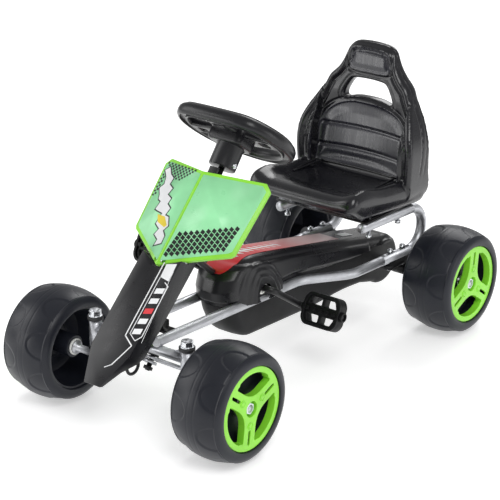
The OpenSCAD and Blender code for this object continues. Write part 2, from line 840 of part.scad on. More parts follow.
module knuckle(s) {
    outer = track_half + axle_end - kingpin_x;
    elbow = 9;
    stop_x = track_half + hub_in - 3.2 - kingpin_x;
    color("silver") kart() side(s) translate([kingpin_x, 0, 0]) {
        translate([0, 0, wheel_r + elbow]) cylinder(h = kingpin_top - wheel_r - elbow, r = axle_r);
        translate([elbow, 0, wheel_r + elbow]) rotate([90, 0, 0]) rotate([0, 0, 180])
            rotate_extrude(angle = 90) translate([elbow, 0]) circle(r = axle_r);
        translate([elbow, 0, wheel_r]) rotate([0, 90, 0]) cylinder(h = outer - elbow, r = axle_r);
        difference() {
            union() {
                translate([0, 0, arm_z]) cylinder(h = arm_t, r = 12);
                translate([-8, 0, arm_z]) cube([16, knuckle_arm, arm_t]);
                translate([0, knuckle_arm, arm_z]) cylinder(h = arm_t, r = 9);
            }
            translate([0, knuckle_arm, arm_z - 1]) cylinder(h = arm_t + 2, r = 4 + fit);
        }
        // Collar that the wheel's inner bush runs against
        translate([stop_x - 3, 0, wheel_r]) rotate([0, 90, 0]) cylinder(h = 3, r = 11);
    }
}

module kingpin_nut(s) {
    color([0.8, 0.81, 0.83]) kart() translate([s * kingpin_x, 0, sleeve_top + 5.2]) {
        ring(11, axle_r, 1.6);
        translate([0, 0, 1.6]) hex_nut(10, 8, axle_r);
    }
}

module kingpin_bushes() {
    color([0.1, 0.1, 0.11]) kart() for (s = [-1, 1]) translate([s * kingpin_x, 0, 0]) {
        translate([0, 0, sleeve_bottom]) ring(sleeve_bore, axle_r + fit, sleeve_top - sleeve_bottom);
        translate([0, 0, sleeve_top]) ring(12.5, axle_r + fit, 5);
        translate([0, 0, sleeve_bottom - 1.6]) ring(12, axle_r + fit, 1.6);
    }
}

// Tie rod: an upright pin in the knuckle arm and an eye on the column's crank pin
module tie_rod(s) {
    eye_t0 = s > 0 ? left_eye_t : right_eye_t;
    eye_c = column_foot + steer_throw * crank_back - (eye_t0 + eye_t / 2 - 5) * column_dir;
    arm_pin = [kingpin_x, knuckle_arm, arm_z - 6];
    reach = arm_pin - eye_c;
    start = eye_c + reach * (eye_r - 2) / norm(reach);
    color("silver") kart() side(s) {
        translate([arm_pin.x, arm_pin.y, arm_pin.z]) cylinder(h = arm_t + 16, r = 4);
        difference() {
            union() {
                rod(start, arm_pin, 3.5);
                translate(arm_pin - [0, 0, 4.5]) cylinder(h = 9, r = 6.5);
                translate(eye_c) rotate([column_slope - 90, 0, 0])
                    cylinder(h = eye_t, r = eye_r, center = true);
            }
            translate(eye_c) rotate([column_slope - 90, 0, 0]) cylinder(h = 30, r = eye_hole_r, center = true);
            translate(arm_pin + [0, 0, 4.5]) cylinder(h = 5, r = 8);
        }
    }
}

module tie_rod_nuts(s) {
    color([0.75, 0.76, 0.78]) kart() translate([s * kingpin_x, knuckle_arm, arm_z + arm_t + 0.3])
        hex_nut(7, 5.5, 4);
}

// ---------------------------------------------------------------- wheels

tyre_section = [
    [68, half_w], [72, half_w], [78, half_w - 2.2], [82, half_w - 5.6], [87.3, half_w - 20.8],
    [89.4, 12], [90, 0], [89.4, -12], [87.3, 20.8 - half_w], [82, 5.6 - half_w], [78, 2.2 - half_w],
    [72, -half_w], [66, -half_w], [63, 4 - half_w], [58, -20], [55, 12], [hub_r, 12], [hub_r, hub_in],
    [bush_r, hub_in], [bush_r, hub_out], [hub_r, hub_out], [hub_r, 18], [59, 18],
    [59, ring_face - ring_t], [66.2, ring_face - ring_t], [66.2, half_w - 1.6]
];

module tyre() {
    color([0.11, 0.115, 0.13]) rotate_extrude($fn = 128)
        polygon([for (p = tyre_section) [p.x > 80 ? p.x + wheel_r - 90 : p.x, p.y]]);
}

// Flat face of the rim: three wide spokes, each with a slot
module rim_face() {
    difference() {
        circle(r = ring_in_r + 1);
        for (a = [0:120:240]) rotate(a) {
            difference() {
                intersection() {
                    circle(r = ring_in_r - 1);
                    polygon([[7.5, spoke_half], [100, spoke_half], [100, 100], [-42.5, 99.6]]);
                }
                circle(r = 22);
            }
            translate([36, -2.25]) square([16, 4.5]);
        }
    }
}

module rim() {
    color([0.55, 0.95, 0.3]) difference() {
        union() {
            translate([0, 0, ring_face - ring_t]) ring(rim_r, ring_in_r, ring_t);
            translate([0, 0, ring_face - 16]) ring(ring_in_r + 3, ring_in_r, 16);
            translate([0, 0, spoke_a]) linear_extrude(height = spoke_t) rim_face();
            translate([0, 0, hub_out]) cylinder(h = spoke_a + 1 - hub_out, r = hub_cup_r);
        }
        cylinder(h = 100, r = axle_r + 1);
        translate([0, 0, nut_a]) cylinder(h = 40, r = nut_room);
    }
}

module wheel_bushes() {
    color("whitesmoke") {
        translate([0, 0, hub_in]) ring(bush_r, axle_r + fit, 16);
        translate([0, 0, hub_in - 3]) ring(bush_flange_r, axle_r + fit, 3);
        translate([0, 0, hub_out - 16]) ring(bush_r, axle_r + fit, 16);
    }
}

// Steel sleeve that locks a rear wheel's hub to the axle
module hub_sleeve() {
    color([0.6, 0.61, 0.63]) translate([0, 0, hub_in]) ring(bush_r, axle_r, hub_out - hub_in);
}

module axle_nut() {
    color([0.8, 0.81, 0.83]) {
        translate([0, 0, nut_a + 0.3]) ring(11, axle_r, 1.5);
        translate([0, 0, nut_a + 1.8]) hex_nut(9.5, 7, axle_r);
    }
}

module front_tyre(s) { kart() wheel_axis(s, 0) tyre(); }
module front_rim(s) { kart() wheel_axis(s, 0) rotate(s > 0 ? 60 : 20) rim(); }
module front_bushes(s) { kart() wheel_axis(s, 0) wheel_bushes(); }
module front_nut(s) { kart() wheel_axis(s, 0) axle_nut(); }
module rear_tyres() { kart() for (s = [-1, 1]) wheel_axis(s, wheelbase) tyre(); }
module rear_rims() { kart() for (s = [-1, 1]) wheel_axis(s, wheelbase) rotate(90) rim(); }
module rear_hub_sleeves() { kart() for (s = [-1, 1]) wheel_axis(s, wheelbase) hub_sleeve(); }
module rear_nuts() { kart() for (s = [-1, 1]) wheel_axis(s, wheelbase) axle_nut(); }

// ---------------------------------------------------------------- nodes

frame_rail(1);  // frame_rail_left
frame_rail(-1);  // frame_rail_right
front_beam();
kingpin_sleeve(1);  // kingpin_sleeve_left
kingpin_sleeve(-1);  // kingpin_sleeve_right
column_lower_bracket();
column_strut();
column_foot_loop();
column_bushes();
plate_bracket();
seat_bracket(1);  // seat_bracket_left
seat_bracket(-1);  // seat_bracket_right
seat_bracket_bolts();
seat_mount_plate();
seat_shell();
seat_bolts();
nose_fairing();
number_plate();
plate_panels();
chain_case_cover();
chain_case_tray();
case_panel();
crank_bearing_blocks();
crank_bushes();
rear_bearing(1);  // rear_bearing_left
rear_bearing(-1);  // rear_bearing_right
rear_axle_bushes();
drive_chain();
steering_column();
steering_wheel();
steering_cap();
steering_bolt();
steering_pin_nut();
knuckle(1);  // knuckle_left
knuckle(-1);  // knuckle_right
kingpin_nut(1);  // kingpin_nut_left
kingpin_nut(-1);  // kingpin_nut_right
kingpin_bushes();
tie_rod(1);  // tie_rod_left
tie_rod(-1);  // tie_rod_right
tie_rod_nuts(1);  // tie_rod_nuts_left
tie_rod_nuts(-1);  // tie_rod_nuts_right
front_tyre(1);  // front_tyre_left
front_tyre(-1);  // front_tyre_right
front_rim(1);  // front_rim_left
front_rim(-1);  // front_rim_right
front_bushes(1);  // front_bushes_left
front_bushes(-1);  // front_bushes_right
front_nut(1);  // front_nut_left
front_nut(-1);  // front_nut_right
rear_tyres();
rear_rims();
rear_hub_sleeves();
rear_nuts();
rear_axle();
rear_sprocket();
crank();
chainring();
pedal(1);  // pedal_left
pedal(-1);  // pedal_right
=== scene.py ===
"""Looks for the pedal go kart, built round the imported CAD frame."""

import math

import bmesh
import bpy
import numpy as np
from mathutils import Matrix, Vector
from mathutils.bvhtree import BVHTree


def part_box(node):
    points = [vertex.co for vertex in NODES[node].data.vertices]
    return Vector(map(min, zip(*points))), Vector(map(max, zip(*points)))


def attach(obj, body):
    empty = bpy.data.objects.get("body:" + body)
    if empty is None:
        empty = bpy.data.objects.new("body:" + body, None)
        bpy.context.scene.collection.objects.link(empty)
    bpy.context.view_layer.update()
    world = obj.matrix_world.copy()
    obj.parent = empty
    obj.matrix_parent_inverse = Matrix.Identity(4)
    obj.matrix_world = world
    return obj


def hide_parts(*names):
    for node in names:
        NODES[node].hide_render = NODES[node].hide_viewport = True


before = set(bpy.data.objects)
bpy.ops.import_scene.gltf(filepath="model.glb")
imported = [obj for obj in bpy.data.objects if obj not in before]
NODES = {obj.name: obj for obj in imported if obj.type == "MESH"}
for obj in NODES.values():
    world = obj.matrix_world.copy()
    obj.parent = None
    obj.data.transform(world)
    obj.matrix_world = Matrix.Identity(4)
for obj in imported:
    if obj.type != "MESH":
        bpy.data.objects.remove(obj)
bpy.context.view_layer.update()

MM = 0.001


def middle(node):
    """Centre of a CAD node's box, in millimetres."""
    lo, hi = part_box(node)
    return (lo + hi) / 2 / MM


FRONT_Y = middle("front_tyre_left").y
WHEELBASE = middle("rear_axle").y - FRONT_Y
WHEEL_R = middle("rear_axle").z
TRACK_HALF = middle("front_tyre_left").x
HALF_W = (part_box("front_tyre_left")[1].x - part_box("front_tyre_left")[0].x) / MM / 2


def at(x, y, z):
    """A point in metres, from millimetres measured back from the front axle."""
    return Vector((x, y + FRONT_Y, z)) * MM


def lift(up):
    return Matrix.Translation((0, 0, up * MM))


def spun(degrees, axis="Z"):
    return Matrix.Rotation(math.radians(degrees), 4, axis)


def clamp(value):
    return max(0.0, min(1.0, value))


# ---- materials


def shader(name, color, rough, metallic=0.0, coat=0.0, specular=0.5):
    mat = bpy.data.materials.new(name)
    mat.use_nodes = True
    mat.diffuse_color = (*color, 1)
    bsdf = mat.node_tree.nodes["Principled BSDF"]
    bsdf.inputs["Base Color"].default_value = (*color, 1)
    bsdf.inputs["Roughness"].default_value = rough
    bsdf.inputs["Metallic"].default_value = metallic
    bsdf.inputs["Coat Weight"].default_value = coat
    bsdf.inputs["Coat Roughness"].default_value = 0.15
    bsdf.inputs["Specular IOR Level"].default_value = specular
    return mat, bsdf


def add(mat, kind, sockets=None, **settings):
    """A new shader node with its settings and unlinked sockets filled in."""
    node = mat.node_tree.nodes.new(kind)
    for key, value in settings.items():
        setattr(node, key, value)
    for key, value in (sockets or {}).items():
        node.inputs[key].default_value = value
    return node


def join(mat, a, b):
    mat.node_tree.links.new(a, b)


def place(mat, scale=(1, 1, 1)):
    """Texture coordinates fixed to the piece."""
    coord = add(mat, "ShaderNodeTexCoord")
    mapping = add(mat, "ShaderNodeMapping", {"Scale": scale})
    join(mat, coord.outputs["Object"], mapping.inputs["Vector"])
    return mapping.outputs["Vector"]


def noise_node(mat, vector, scale, detail=4.0, rough=0.55):
    node = add(mat, "ShaderNodeTexNoise", {"Scale": scale, "Detail": detail, "Roughness": rough})
    join(mat, vector, node.inputs["Vector"])
    return node.outputs["Fac"]


def remap(mat, value, low, high, start=0.3, end=0.7):
    node = add(mat, "ShaderNodeMapRange", {"From Min": start, "From Max": end, "To Min": low, "To Max": high})
    join(mat, value, node.inputs["Value"])
    return node.outputs["Result"]


def vary_color(mat, bsdf, value, dark, light, start=0.3, end=0.7):
    ramp = add(mat, "ShaderNodeValToRGB")
    ramp.color_ramp.elements[0].position = start
    ramp.color_ramp.elements[0].color = (*dark, 1)
    ramp.color_ramp.elements[1].position = end
    ramp.color_ramp.elements[1].color = (*light, 1)
    join(mat, value, ramp.inputs["Fac"])
    join(mat, ramp.outputs["Color"], bsdf.inputs["Base Color"])


def bump(mat, bsdf, heights, distance):
    """Adds bumps one after another: heights is a list of (value socket, strength)."""
    last = None
    for value, strength in heights:
        node = add(mat, "ShaderNodeBump", {"Strength": strength, "Distance": distance})
        join(mat, value, node.inputs["Height"])
        if last:
            join(mat, last, node.inputs["Normal"])
        last = node.outputs["Normal"]
    join(mat, last, bsdf.inputs["Normal"])


def moulded(name, color, rough, spread=0.06, grain=900, grain_strength=0.12, coat=0.0, specular=0.5):
    """Moulded plastic: a fine grain, soft colour mottle and uneven gloss."""
    mat, bsdf = shader(name, color, rough, coat=coat, specular=specular)
    where = place(mat)
    broad = noise_node(mat, where, 9)
    fine = noise_node(mat, where, grain, detail=2)
    light = tuple(min(1, c * 1.18 + 0.002) for c in color)
    dark = tuple(c * 0.86 for c in color)
    vary_color(mat, bsdf, broad, dark, light)
    join(mat, remap(mat, noise_node(mat, where, 34), rough - spread, rough + spread),
         bsdf.inputs["Roughness"])
    bump(mat, bsdf, [(fine, grain_strength), (broad, 0.05)], 0.0004)
    return mat


def metal(name, color, rough, stretch=(40, 1.5, 40), scratch=0.1):
    """Drawn or plated metal: streaks along the kart and small dull patches."""
    mat, bsdf = shader(name, color, rough, metallic=1.0)
    streaks = noise_node(mat, place(mat, scale=stretch), 14, detail=6)
    patches = noise_node(mat, place(mat), 45, detail=5)
    light = tuple(min(1, c * 1.06) for c in color)
    dark = tuple(c * 0.84 for c in color)
    vary_color(mat, bsdf, patches, dark, light)
    join(mat, remap(mat, streaks, rough * 0.7, rough * 1.5), bsdf.inputs["Roughness"])
    bump(mat, bsdf, [(streaks, scratch)], 0.0002)
    return mat


def leather_grain(name, color, rough):
    """Glossy moulded seat skin with fine upright creases and pores."""
    mat, bsdf = shader(name, color, rough, coat=0.35, specular=0.6)
    creases = noise_node(mat, place(mat, scale=(260, 60, 22)), 1.0, detail=6, rough=0.65)
    pores = add(mat, "ShaderNodeTexVoronoi", {"Scale": 520})
    join(mat, place(mat), pores.inputs["Vector"])
    broad = noise_node(mat, place(mat), 14)
    vary_color(mat, bsdf, broad, tuple(c * 0.8 for c in color), tuple(c * 1.5 + 0.003 for c in color))
    join(mat, remap(mat, creases, rough - 0.07, rough + 0.12), bsdf.inputs["Roughness"])
    bump(mat, bsdf, [(creases, 0.30), (pores.outputs["Distance"], 0.10)], 0.0008)
    return mat


def red_fade(name, front_y, back_y):
    """Printed film that fades unevenly from red at the front to pale pink at the back."""
    mat, bsdf = shader(name, (0.7, 0.03, 0.04), 0.3, coat=0.4)
    split = add(mat, "ShaderNodeSeparateXYZ")
    join(mat, place(mat), split.inputs["Vector"])
    along = remap(mat, split.outputs["Y"], 0.0, 1.0, front_y, back_y)
    mottle = noise_node(mat, place(mat, scale=(260, 30, 1)), 1.0, detail=3)
    mixed = add(mat, "ShaderNodeMath", {1: 0.22}, operation="MULTIPLY_ADD")
    join(mat, mottle, mixed.inputs[0])
    join(mat, along, mixed.inputs[2])
    vary_color(mat, bsdf, mixed.outputs["Value"], (0.72, 0.02, 0.03), (0.80, 0.50, 0.50), 0.42, 0.98)
    bump(mat, bsdf, [(mottle, 0.03)], 0.0003)
    return mat


LIME = (0.264, 0.722, 0.038)
BLACK = (0.0075, 0.0075, 0.0095)

MATS = {
    "silver": metal("silver_tube", (0.58, 0.59, 0.62), 0.42),
    "black_steel": moulded("black_powder_coat", (0.008, 0.008, 0.009), 0.38, grain=600, grain_strength=0.2,
                           specular=0.4),
    "zinc": metal("zinc_plate", (0.74, 0.76, 0.79), 0.24, stretch=(8, 8, 8), scratch=0.05),
    "chain": metal("oiled_steel", (0.30, 0.30, 0.32), 0.35, stretch=(8, 8, 8)),
    "nylon": moulded("white_nylon", (0.80, 0.80, 0.77), 0.5),
    "rubber": moulded("black_rubber", (0.02, 0.02, 0.022), 0.6),
    "tyre": moulded("tyre_plastic", (0.0105, 0.0120, 0.0185), 0.37, spread=0.05, grain=420,
                    grain_strength=0.10, specular=0.35),
    "lime": moulded("lime_plastic", LIME, 0.34, spread=0.04, grain=700, grain_strength=0.05, coat=0.15),
    "pale": moulded("pale_green_film", (0.34, 0.83, 0.43), 0.30, spread=0.03, grain=500, grain_strength=0.03),
    "black": moulded("black_plastic", BLACK, 0.30, grain=700, grain_strength=0.10, specular=0.4),
    "black_satin": moulded("black_satin_plastic", (0.006, 0.006, 0.007), 0.44, grain=500, grain_strength=0.2,
                           specular=0.22),
    "seat": leather_grain("seat_skin", (0.008, 0.008, 0.014), 0.27),
    "seat_frame": moulded("seat_smooth_plastic", (0.0065, 0.0065, 0.009), 0.24, grain=300,
                          grain_strength=0.05, coat=0.2, specular=0.45),
    "ink": moulded("black_ink", (0.008, 0.010, 0.009), 0.4),
    "red_plain": moulded("red_ink", (0.70, 0.02, 0.03), 0.35, grain=400, grain_strength=0.03),
    "yellow_ink": moulded("yellow_ink", (0.80, 0.62, 0.03), 0.35, grain=400, grain_strength=0.03),
    "white_ink": moulded("white_ink", (0.82, 0.83, 0.84), 0.35, grain=400, grain_strength=0.03),
}
MATS["red"] = red_fade("red_film", at(0, 200, 0).y, at(0, 430, 0).y)


# ---- mesh helpers


def finish_mesh(mesh, angle=32):
    mesh.polygons.foreach_set("use_smooth", [True] * len(mesh.polygons))
    mesh.set_sharp_from_angle(angle=math.radians(angle))
    mesh.update()


def clean(bm, gap=1e-6):
    bmesh.ops.remove_doubles(bm, verts=bm.verts, dist=gap)
    bmesh.ops.recalc_face_normals(bm, faces=bm.faces)


def mesh_object(name, bm, angle=32):
    mesh = bpy.data.meshes.new(name)
    bm.to_mesh(mesh)
    bm.free()
    finish_mesh(mesh, angle)
    obj = bpy.data.objects.new(name, mesh)
    bpy.context.scene.collection.objects.link(obj)
    return obj


def piece(obj, mat, body, stands_for=()):
    """Gives a finished mesh its material, its body and the CAD nodes it stands for."""
    obj.data.materials.clear()
    obj.data.materials.append(MATS[mat])
    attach(obj, body)
    if stands_for:
        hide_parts(*stands_for)
    return obj


def with_modifiers(obj):
    """Applies an object's modifiers to its mesh."""
    depsgraph = bpy.context.evaluated_depsgraph_get()
    mesh = bpy.data.meshes.new_from_object(obj.evaluated_get(depsgraph))
    old = obj.data
    obj.modifiers.clear()
    obj.data = mesh
    bpy.data.meshes.remove(old)


def modify(obj, kind, **values):
    mod = obj.modifiers.new(kind.lower(), kind)
    for key, value in values.items():
        setattr(mod, key, value)
    return mod


def merged(objects, name, angle=32):
    """One mesh object from several, each in its own place."""
    bm = bmesh.new()
    for o in objects:
        o.data.transform(o.matrix_world)
        bm.from_mesh(o.data)
    for o in objects:
        bpy.data.objects.remove(o)
    return mesh_object(name, bm, angle)


def fused(objects, name, voxel, smooth=8):
    """Melts overlapping closed solids into one moulded skin."""
    obj = merged(objects, name)
    modify(obj, "REMESH", mode="VOXEL", voxel_size=voxel * MM)
    modify(obj, "SMOOTH", factor=0.5, iterations=smooth)
    with_modifiers(obj)
    finish_mesh(obj.data, 60)
    return obj


def read(items, field):
    """A vector field of a mesh's vertices or faces, as an array with three columns."""
    out = np.empty(len(items) * 3)
    items.foreach_get(field, out)
    return out.reshape(-1, 3)


def arc(centre, r, start, end, n):
    """Points on an arc, angles in degrees."""
    angles = [math.radians(start + (end - start) * i / n) for i in range(n + 1)]
    return [(centre[0] + r * math.cos(a), centre[1] + r * math.sin(a)) for a in angles]


def circle(centre, r, n):
    return arc(centre, r, 0, 360, n)[:-1]


def rounded(points, radius, n=6):
    """A closed outline with each corner rounded."""
    out = []
    count = len(points)
    for i, here in enumerate(points):
        p = Vector(here)
        a = Vector(points[i - 1]) - p
        b = Vector(points[(i + 1) % count]) - p
        r = radius[i] if isinstance(radius, (list, tuple)) else radius
        cut = min(r, a.length * 0.48, b.length * 0.48)
        a, b = p + a.normalized() * cut, p + b.normalized() * cut
        for k in range(n + 1):
            t = k / n
            out.append(tuple(a.lerp(p, t).lerp(p.lerp(b, t), t)))
    return out


def slab(name, outlines, depth, bevel=0.0, matrix=Matrix(), segments=2, shrink=0.0):
    """A flat filled shape with holes, extruded to depth mm about its middle plane and bevelled.

    outlines are closed lists of (u, v) in mm: the first is the edge, and the others are holes.
    shrink draws the edge in by that many mm.
    """
    curve = bpy.data.curves.new(name, "CURVE")
    curve.dimensions = "2D"
    curve.fill_mode = "BOTH"
    for outline in outlines:
        spline = curve.splines.new("POLY")
        spline.points.add(len(outline) - 1)
        for point, (u, v) in zip(spline.points, outline):
            point.co = (u * MM, v * MM, 0, 1)
        spline.use_cyclic_u = True
    curve.extrude = (depth / 2 - bevel) * MM
    curve.bevel_depth = bevel * MM
    curve.bevel_resolution = segments
    curve.offset = -(bevel + shrink) * MM
    source = bpy.data.objects.new(name, curve)
    bpy.context.scene.collection.objects.link(source)
    bpy.context.view_layer.update()
    depsgraph = bpy.context.evaluated_depsgraph_get()
    mesh = bpy.data.meshes.new_from_object(source.evaluated_get(depsgraph))
    bpy.data.objects.remove(source)
    bm = bmesh.new()
    bm.from_mesh(mesh)
    clean(bm)
    bm.transform(matrix)
    return mesh_object(name, bm, 40)


# Turns a flat (y, z) outline into the kart's side plane: u runs back, v up, depth across
SIDE = Matrix(((0, 0, 1, 0), (1, 0, 0, 0), (0, 1, 0, 0), (0, 0, 0, 1)))


def side_slab(name, outline, half, bevel, x=0.0, segments=4):
    """An outline in (y, z), mm from the front axle, extruded to both sides of x."""
    place_it = Matrix.Translation(at(x, 0, 0)) @ SIDE
    return slab(name, [outline], 2 * half, bevel, place_it, segments)


def loft(name, rings, closed=True, caps=False, angle=32):
    """A skin through rings of points with equal counts."""
    bm = bmesh.new()
    rows = [[bm.verts.new(p) for p in ring] for ring in rings]
    count = len(rows[0])
    for a, b in zip(rows, rows[1:]):
        for i in range(count if closed else count - 1):
            j = (i + 1) % count
            bm.faces.new((a[i], a[j], b[j], b[i]))
    if caps:
        bm.faces.new(rows[0])
        bm.faces.new(rows[-1][::-1])
    clean(bm)
    return mesh_object(name, bm, angle)


def revolved(name, profile, segments, place_it, shape=None, angle=28):
    """Turns a closed profile of (radius, along) in mm round the local Z axis."""
    rings = []
    for k in range(segments):
        turn = 2 * math.pi * k / segments
        ring = []
        for r, a in profile:
            r2 = r + (shape(r, a, turn) if shape else 0)
            ring.append(place_it @ (Vector((r2 * math.cos(turn), r2 * math.sin(turn), a)) * MM))
        rings.append(ring)
    return loft(name, rings + [rings[0]], closed=True, angle=angle)


# ---- wheels

SCALLOPS = 8
SCALLOP_REACH = 27
SCALLOP_HALF = 20
CREASE = 38.5
TREAD_R = 79
TREAD_HALF = 40.6
TREAD_STEPS = 68
CROWN = 0.0044


def ridge_at(distance, half):
    """1 at distance 0, falling in a straight line to 0 at half."""
    return max(0.0, 1 - abs(distance) / half)


def tread_shape(r, a, turn):
    """Depth of the tread's D-shaped scallops, their rims, the shoulder creases and the middle grooves."""
    if r < TREAD_R:
        return 0.0
    dip = 0.0
    from_crease = (CREASE - abs(a)) / SCALLOP_REACH
    if 0 <= from_crease < 1.25:
        step = 2 * math.pi / SCALLOPS
        offset = (turn + (0.5 * step if a <= 0 else 0)) % step - step / 2
        reach = math.hypot(from_crease, offset * r / SCALLOP_HALF)
        inside_it = clamp((1 - reach) / 0.08)
        dip -= 1.5 * ridge_at(reach - 1, 0.075) + 1.2 * inside_it
    dip -= 0.8 * ridge_at(abs(a) - CREASE - 0.8, 1.2)
    dip -= 0.45 * ridge_at(abs(a) - 5.5, 1.1)
    return dip


def tyre_profile():
    """Closed profile of (radius, along): the outer wall, the crowned tread, the inner wall and the web."""
    tread = []
    for i in range(TREAD_STEPS + 1):
        a = TREAD_HALF - 2 * TREAD_HALF * i / TREAD_STEPS
        tread.append((WHEEL_R - CROWN * a * a, a))
    outside = [(59, 40.8), (66.2, 40.8), (66.2, 44.9), (66.8, 45.9), (68, 46.3), (70, 46.5), (73, 46.4),
               (76, 45.6), (78.6, 44.4), (80.6, 42.8), (82, 41.4)]
    inside = [(82, -41.4), (80.6, -42.8), (78.4, -44.6), (75, -46.0), (72, -46.5), (68.5, -46.5),
              (66.6, -45.8),
              (65.6, -44.0), (65.2, -41.5), (62.5, -40.6), (61.4, -38), (60.4, -30), (58, -18), (56, -4),
              (55, 8),
              (53.5, 11.2), (50, 12), (34, 12), (32, 10.6), (28, 10.2), (26, 12), (19, 12), (18, 11),
              (18, -30.8), (17.2, -32), (9.5, -32), (9, -31), (9, 20), (18, 20), (18, 18), (59, 18)]
    return outside + tread + inside


def wheel_place(s, y, spin):
    """Local Z points out along the axle on side s; spin turns the wheel about it, in degrees."""
    turn = spun(90 * s, "Y") @ spun(spin)
    return Matrix.Translation(at(s * TRACK_HALF, y, WHEEL_R)) @ turn


RIM_FACE = HALF_W - 2.7
RIM_IN = 56.0
RIM_OUT = 65.0
SPOKE_HALF = 13.0
SPOKES = (0, 120, 240)
HUB_HOLE = 12.2
BOSS_AT = 26


def rim_window():
    """The opening between the spokes at 0 and 120 degrees."""
    apex = SPOKE_HALF * math.tan(math.radians(30))
    reach = math.sqrt(RIM_IN**2 - SPOKE_HALF**2)
    start = math.degrees(math.atan2(SPOKE_HALF, reach))
    outer = arc((0, 0), RIM_IN, start, 120 - start, 16)
    inner = (apex, SPOKE_HALF)
    corners = rounded([inner, outer[0], outer[8], outer[-1]], [26, 7, 1, 7], 7)
    return corners[:16] + outer[2:-2] + corners[-8:]


def turned(outline, degrees):
    """An outline turned about its origin."""
    c, s = math.cos(math.radians(degrees)), math.sin(math.radians(degrees))
    return [(x * c - y * s, x * s + y * c) for x, y in outline]


def stadium(x0, x1, half):
    """A slot with round ends along u."""
    return arc((x1, 0), half, -90, 90, 8) + arc((x0, 0), half, 90, 270, 8)


def rim_parts(place_it, name):
    """The lime rim: a flat face, walls behind its windows, a cup for the nut and three bosses."""
    window, slot = rim_window(), stadium(35.5, 54, 2.5)
    outlines = [circle((0, 0), RIM_OUT, 96), circle((0, 0), HUB_HOLE, 32)]
    for a in SPOKES:
        outlines += [turned(window, a), turned(slot, a)]
    face = slab(name + "_face", outlines, 3.4, 0.7, place_it @ lift(RIM_FACE - 1.7), 3)
    cup_edge = [(16, -0.8), (HUB_HOLE, -0.8), (HUB_HOLE, -8), (8, -8), (8, -16), (16, -16)]
    cup = revolved(name + "_cup", [(r, RIM_FACE + up) for r, up in cup_edge], 48, place_it)
    walls, bosses = [], []
    for a in SPOKES:
        rings = [[place_it @ (Vector((x * scale, y * scale, depth)) * MM) for x, y in turned(window, a)]
                 for depth, scale in ((RIM_FACE - 1.2, 1.0), (RIM_FACE - 12, 0.995))]
        wall = loft(f"{name}_wall{a}", rings, angle=40)
        modify(wall, "SOLIDIFY", thickness=1.6 * MM, offset=1)
        with_modifiers(wall)
        walls.append(wall)
        spot = place_it @ spun(a) @ Matrix.Translation((BOSS_AT * MM, 0, 0))
        profile = [(0.01, 0.9), (3.2, 0.9), (3.6, 0.1), (4.4, 0.1), (4.8, 0.9), (5.6, 0.8), (5.9, -0.3),
                   (5.9, -2),
                   (0.01, -2)]
        bosses.append(revolved(f"{name}_boss{a}", [(r, RIM_FACE + up) for r, up in profile], 28, spot))
    return merged([face, cup] + walls + bosses, name, 40)


def wheels():
    profile = tyre_profile()
    # Name, side, place along the kart, body, turn in degrees, and the CAD nodes
    spots = [("front_left", 1, 0, "front_wheel_left", -8, "front_tyre_left", "front_rim_left"),
             ("front_right", -1, 0, "front_wheel_right", 20, "front_tyre_right", "front_rim_right"),
             ("rear_left", 1, WHEELBASE, "rear_axle", 54, "rear_tyres", "rear_rims"),
             ("rear_right", -1, WHEELBASE, "rear_axle", 54, "rear_tyres", "rear_rims")]
    for name, s, y, body, spin, tyre_node, rim_node in spots:
        spot = wheel_place(s, y, spin)
        tyre = revolved("tyre_" + name, profile, 288, spot, tread_shape, angle=38)
        piece(tyre, "tyre", body, [tyre_node])
        piece(rim_parts(spot, "rim_" + name), "lime", body, [rim_node])


# ---- chain case

CASE_FRONT = (228, 147)
CASE_R = 62
CASE_HALF = 34
CASE_SKIN = 2.2
WIDE_END = 501
CRANK_ARCH = (228, 138)
DOME_REACH = 14
DOME_FROM_X = 6
TRAY_SAG = 10
RAIL_Z0 = 149
RAIL_ANGLE = math.radians(2.75)
RAIL_DROP = math.tan(RAIL_ANGLE)


def case_solids(bevel):
    """The case's body, its rear drum and the wedge that joins them."""
    top = 168 + (134 - 168) * (WIDE_END - 440) / (WHEELBASE - 440)
    low = 65 + (79 - 65) * (530 - WIDE_END) / 170
    body = (arc(CASE_FRONT, CASE_R, 81, 267, 40)
            + [(360, 79), (WIDE_END, low), (WIDE_END, top), (440, 168), (265, 204)])
    wedge = [(440, 168), (600, 133), (600, 46), (530, 65), (440, 72.4)]
    outlines = (body, circle((WHEELBASE, WHEEL_R), 44, 60), wedge)
    return [side_slab("case", outline, CASE_HALF, bevel, segments=6) for outline in outlines]


def cut_above(obj, gap, keep_above):
    """Cuts a mesh along the line of the rails and keeps one side."""
    bm = bmesh.new()
    bm.from_mesh(obj.data)
    normal = Vector((0, RAIL_DROP, 1)).normalized()
    bmesh.ops.bisect_plane(bm, geom=bm.verts[:] + bm.edges[:] + bm.faces[:], dist=1e-6,
                           plane_co=at(0, 0, RAIL_Z0 + gap), plane_no=normal,
                           clear_inner=keep_above, clear_outer=not keep_above)
    bm.to_mesh(obj.data)
    bm.free()
    finish_mesh(obj.data, 45)


def carve(obj, tools):
    """Cuts closed tool meshes out of a mesh."""
    for tool in tools:
        modify(obj, "BOOLEAN", operation="DIFFERENCE", solver="EXACT", object=tool)
        with_modifiers(obj)
        bpy.data.objects.remove(tool)
    finish_mesh(obj.data, 45)


def dome_front(obj):
    """Rounds the case's front in plan: the sides draw back as they near the front."""
    for v in obj.data.vertices:
        y = v.co.y / MM - FRONT_Y
        x = abs(v.co.x / MM)
        if y < 240 and x > DOME_FROM_X:
            out = (x - DOME_FROM_X) / (CASE_HALF - DOME_FROM_X)
            v.co.y += out**2 * DOME_REACH * clamp((235 - y) / 60) * MM


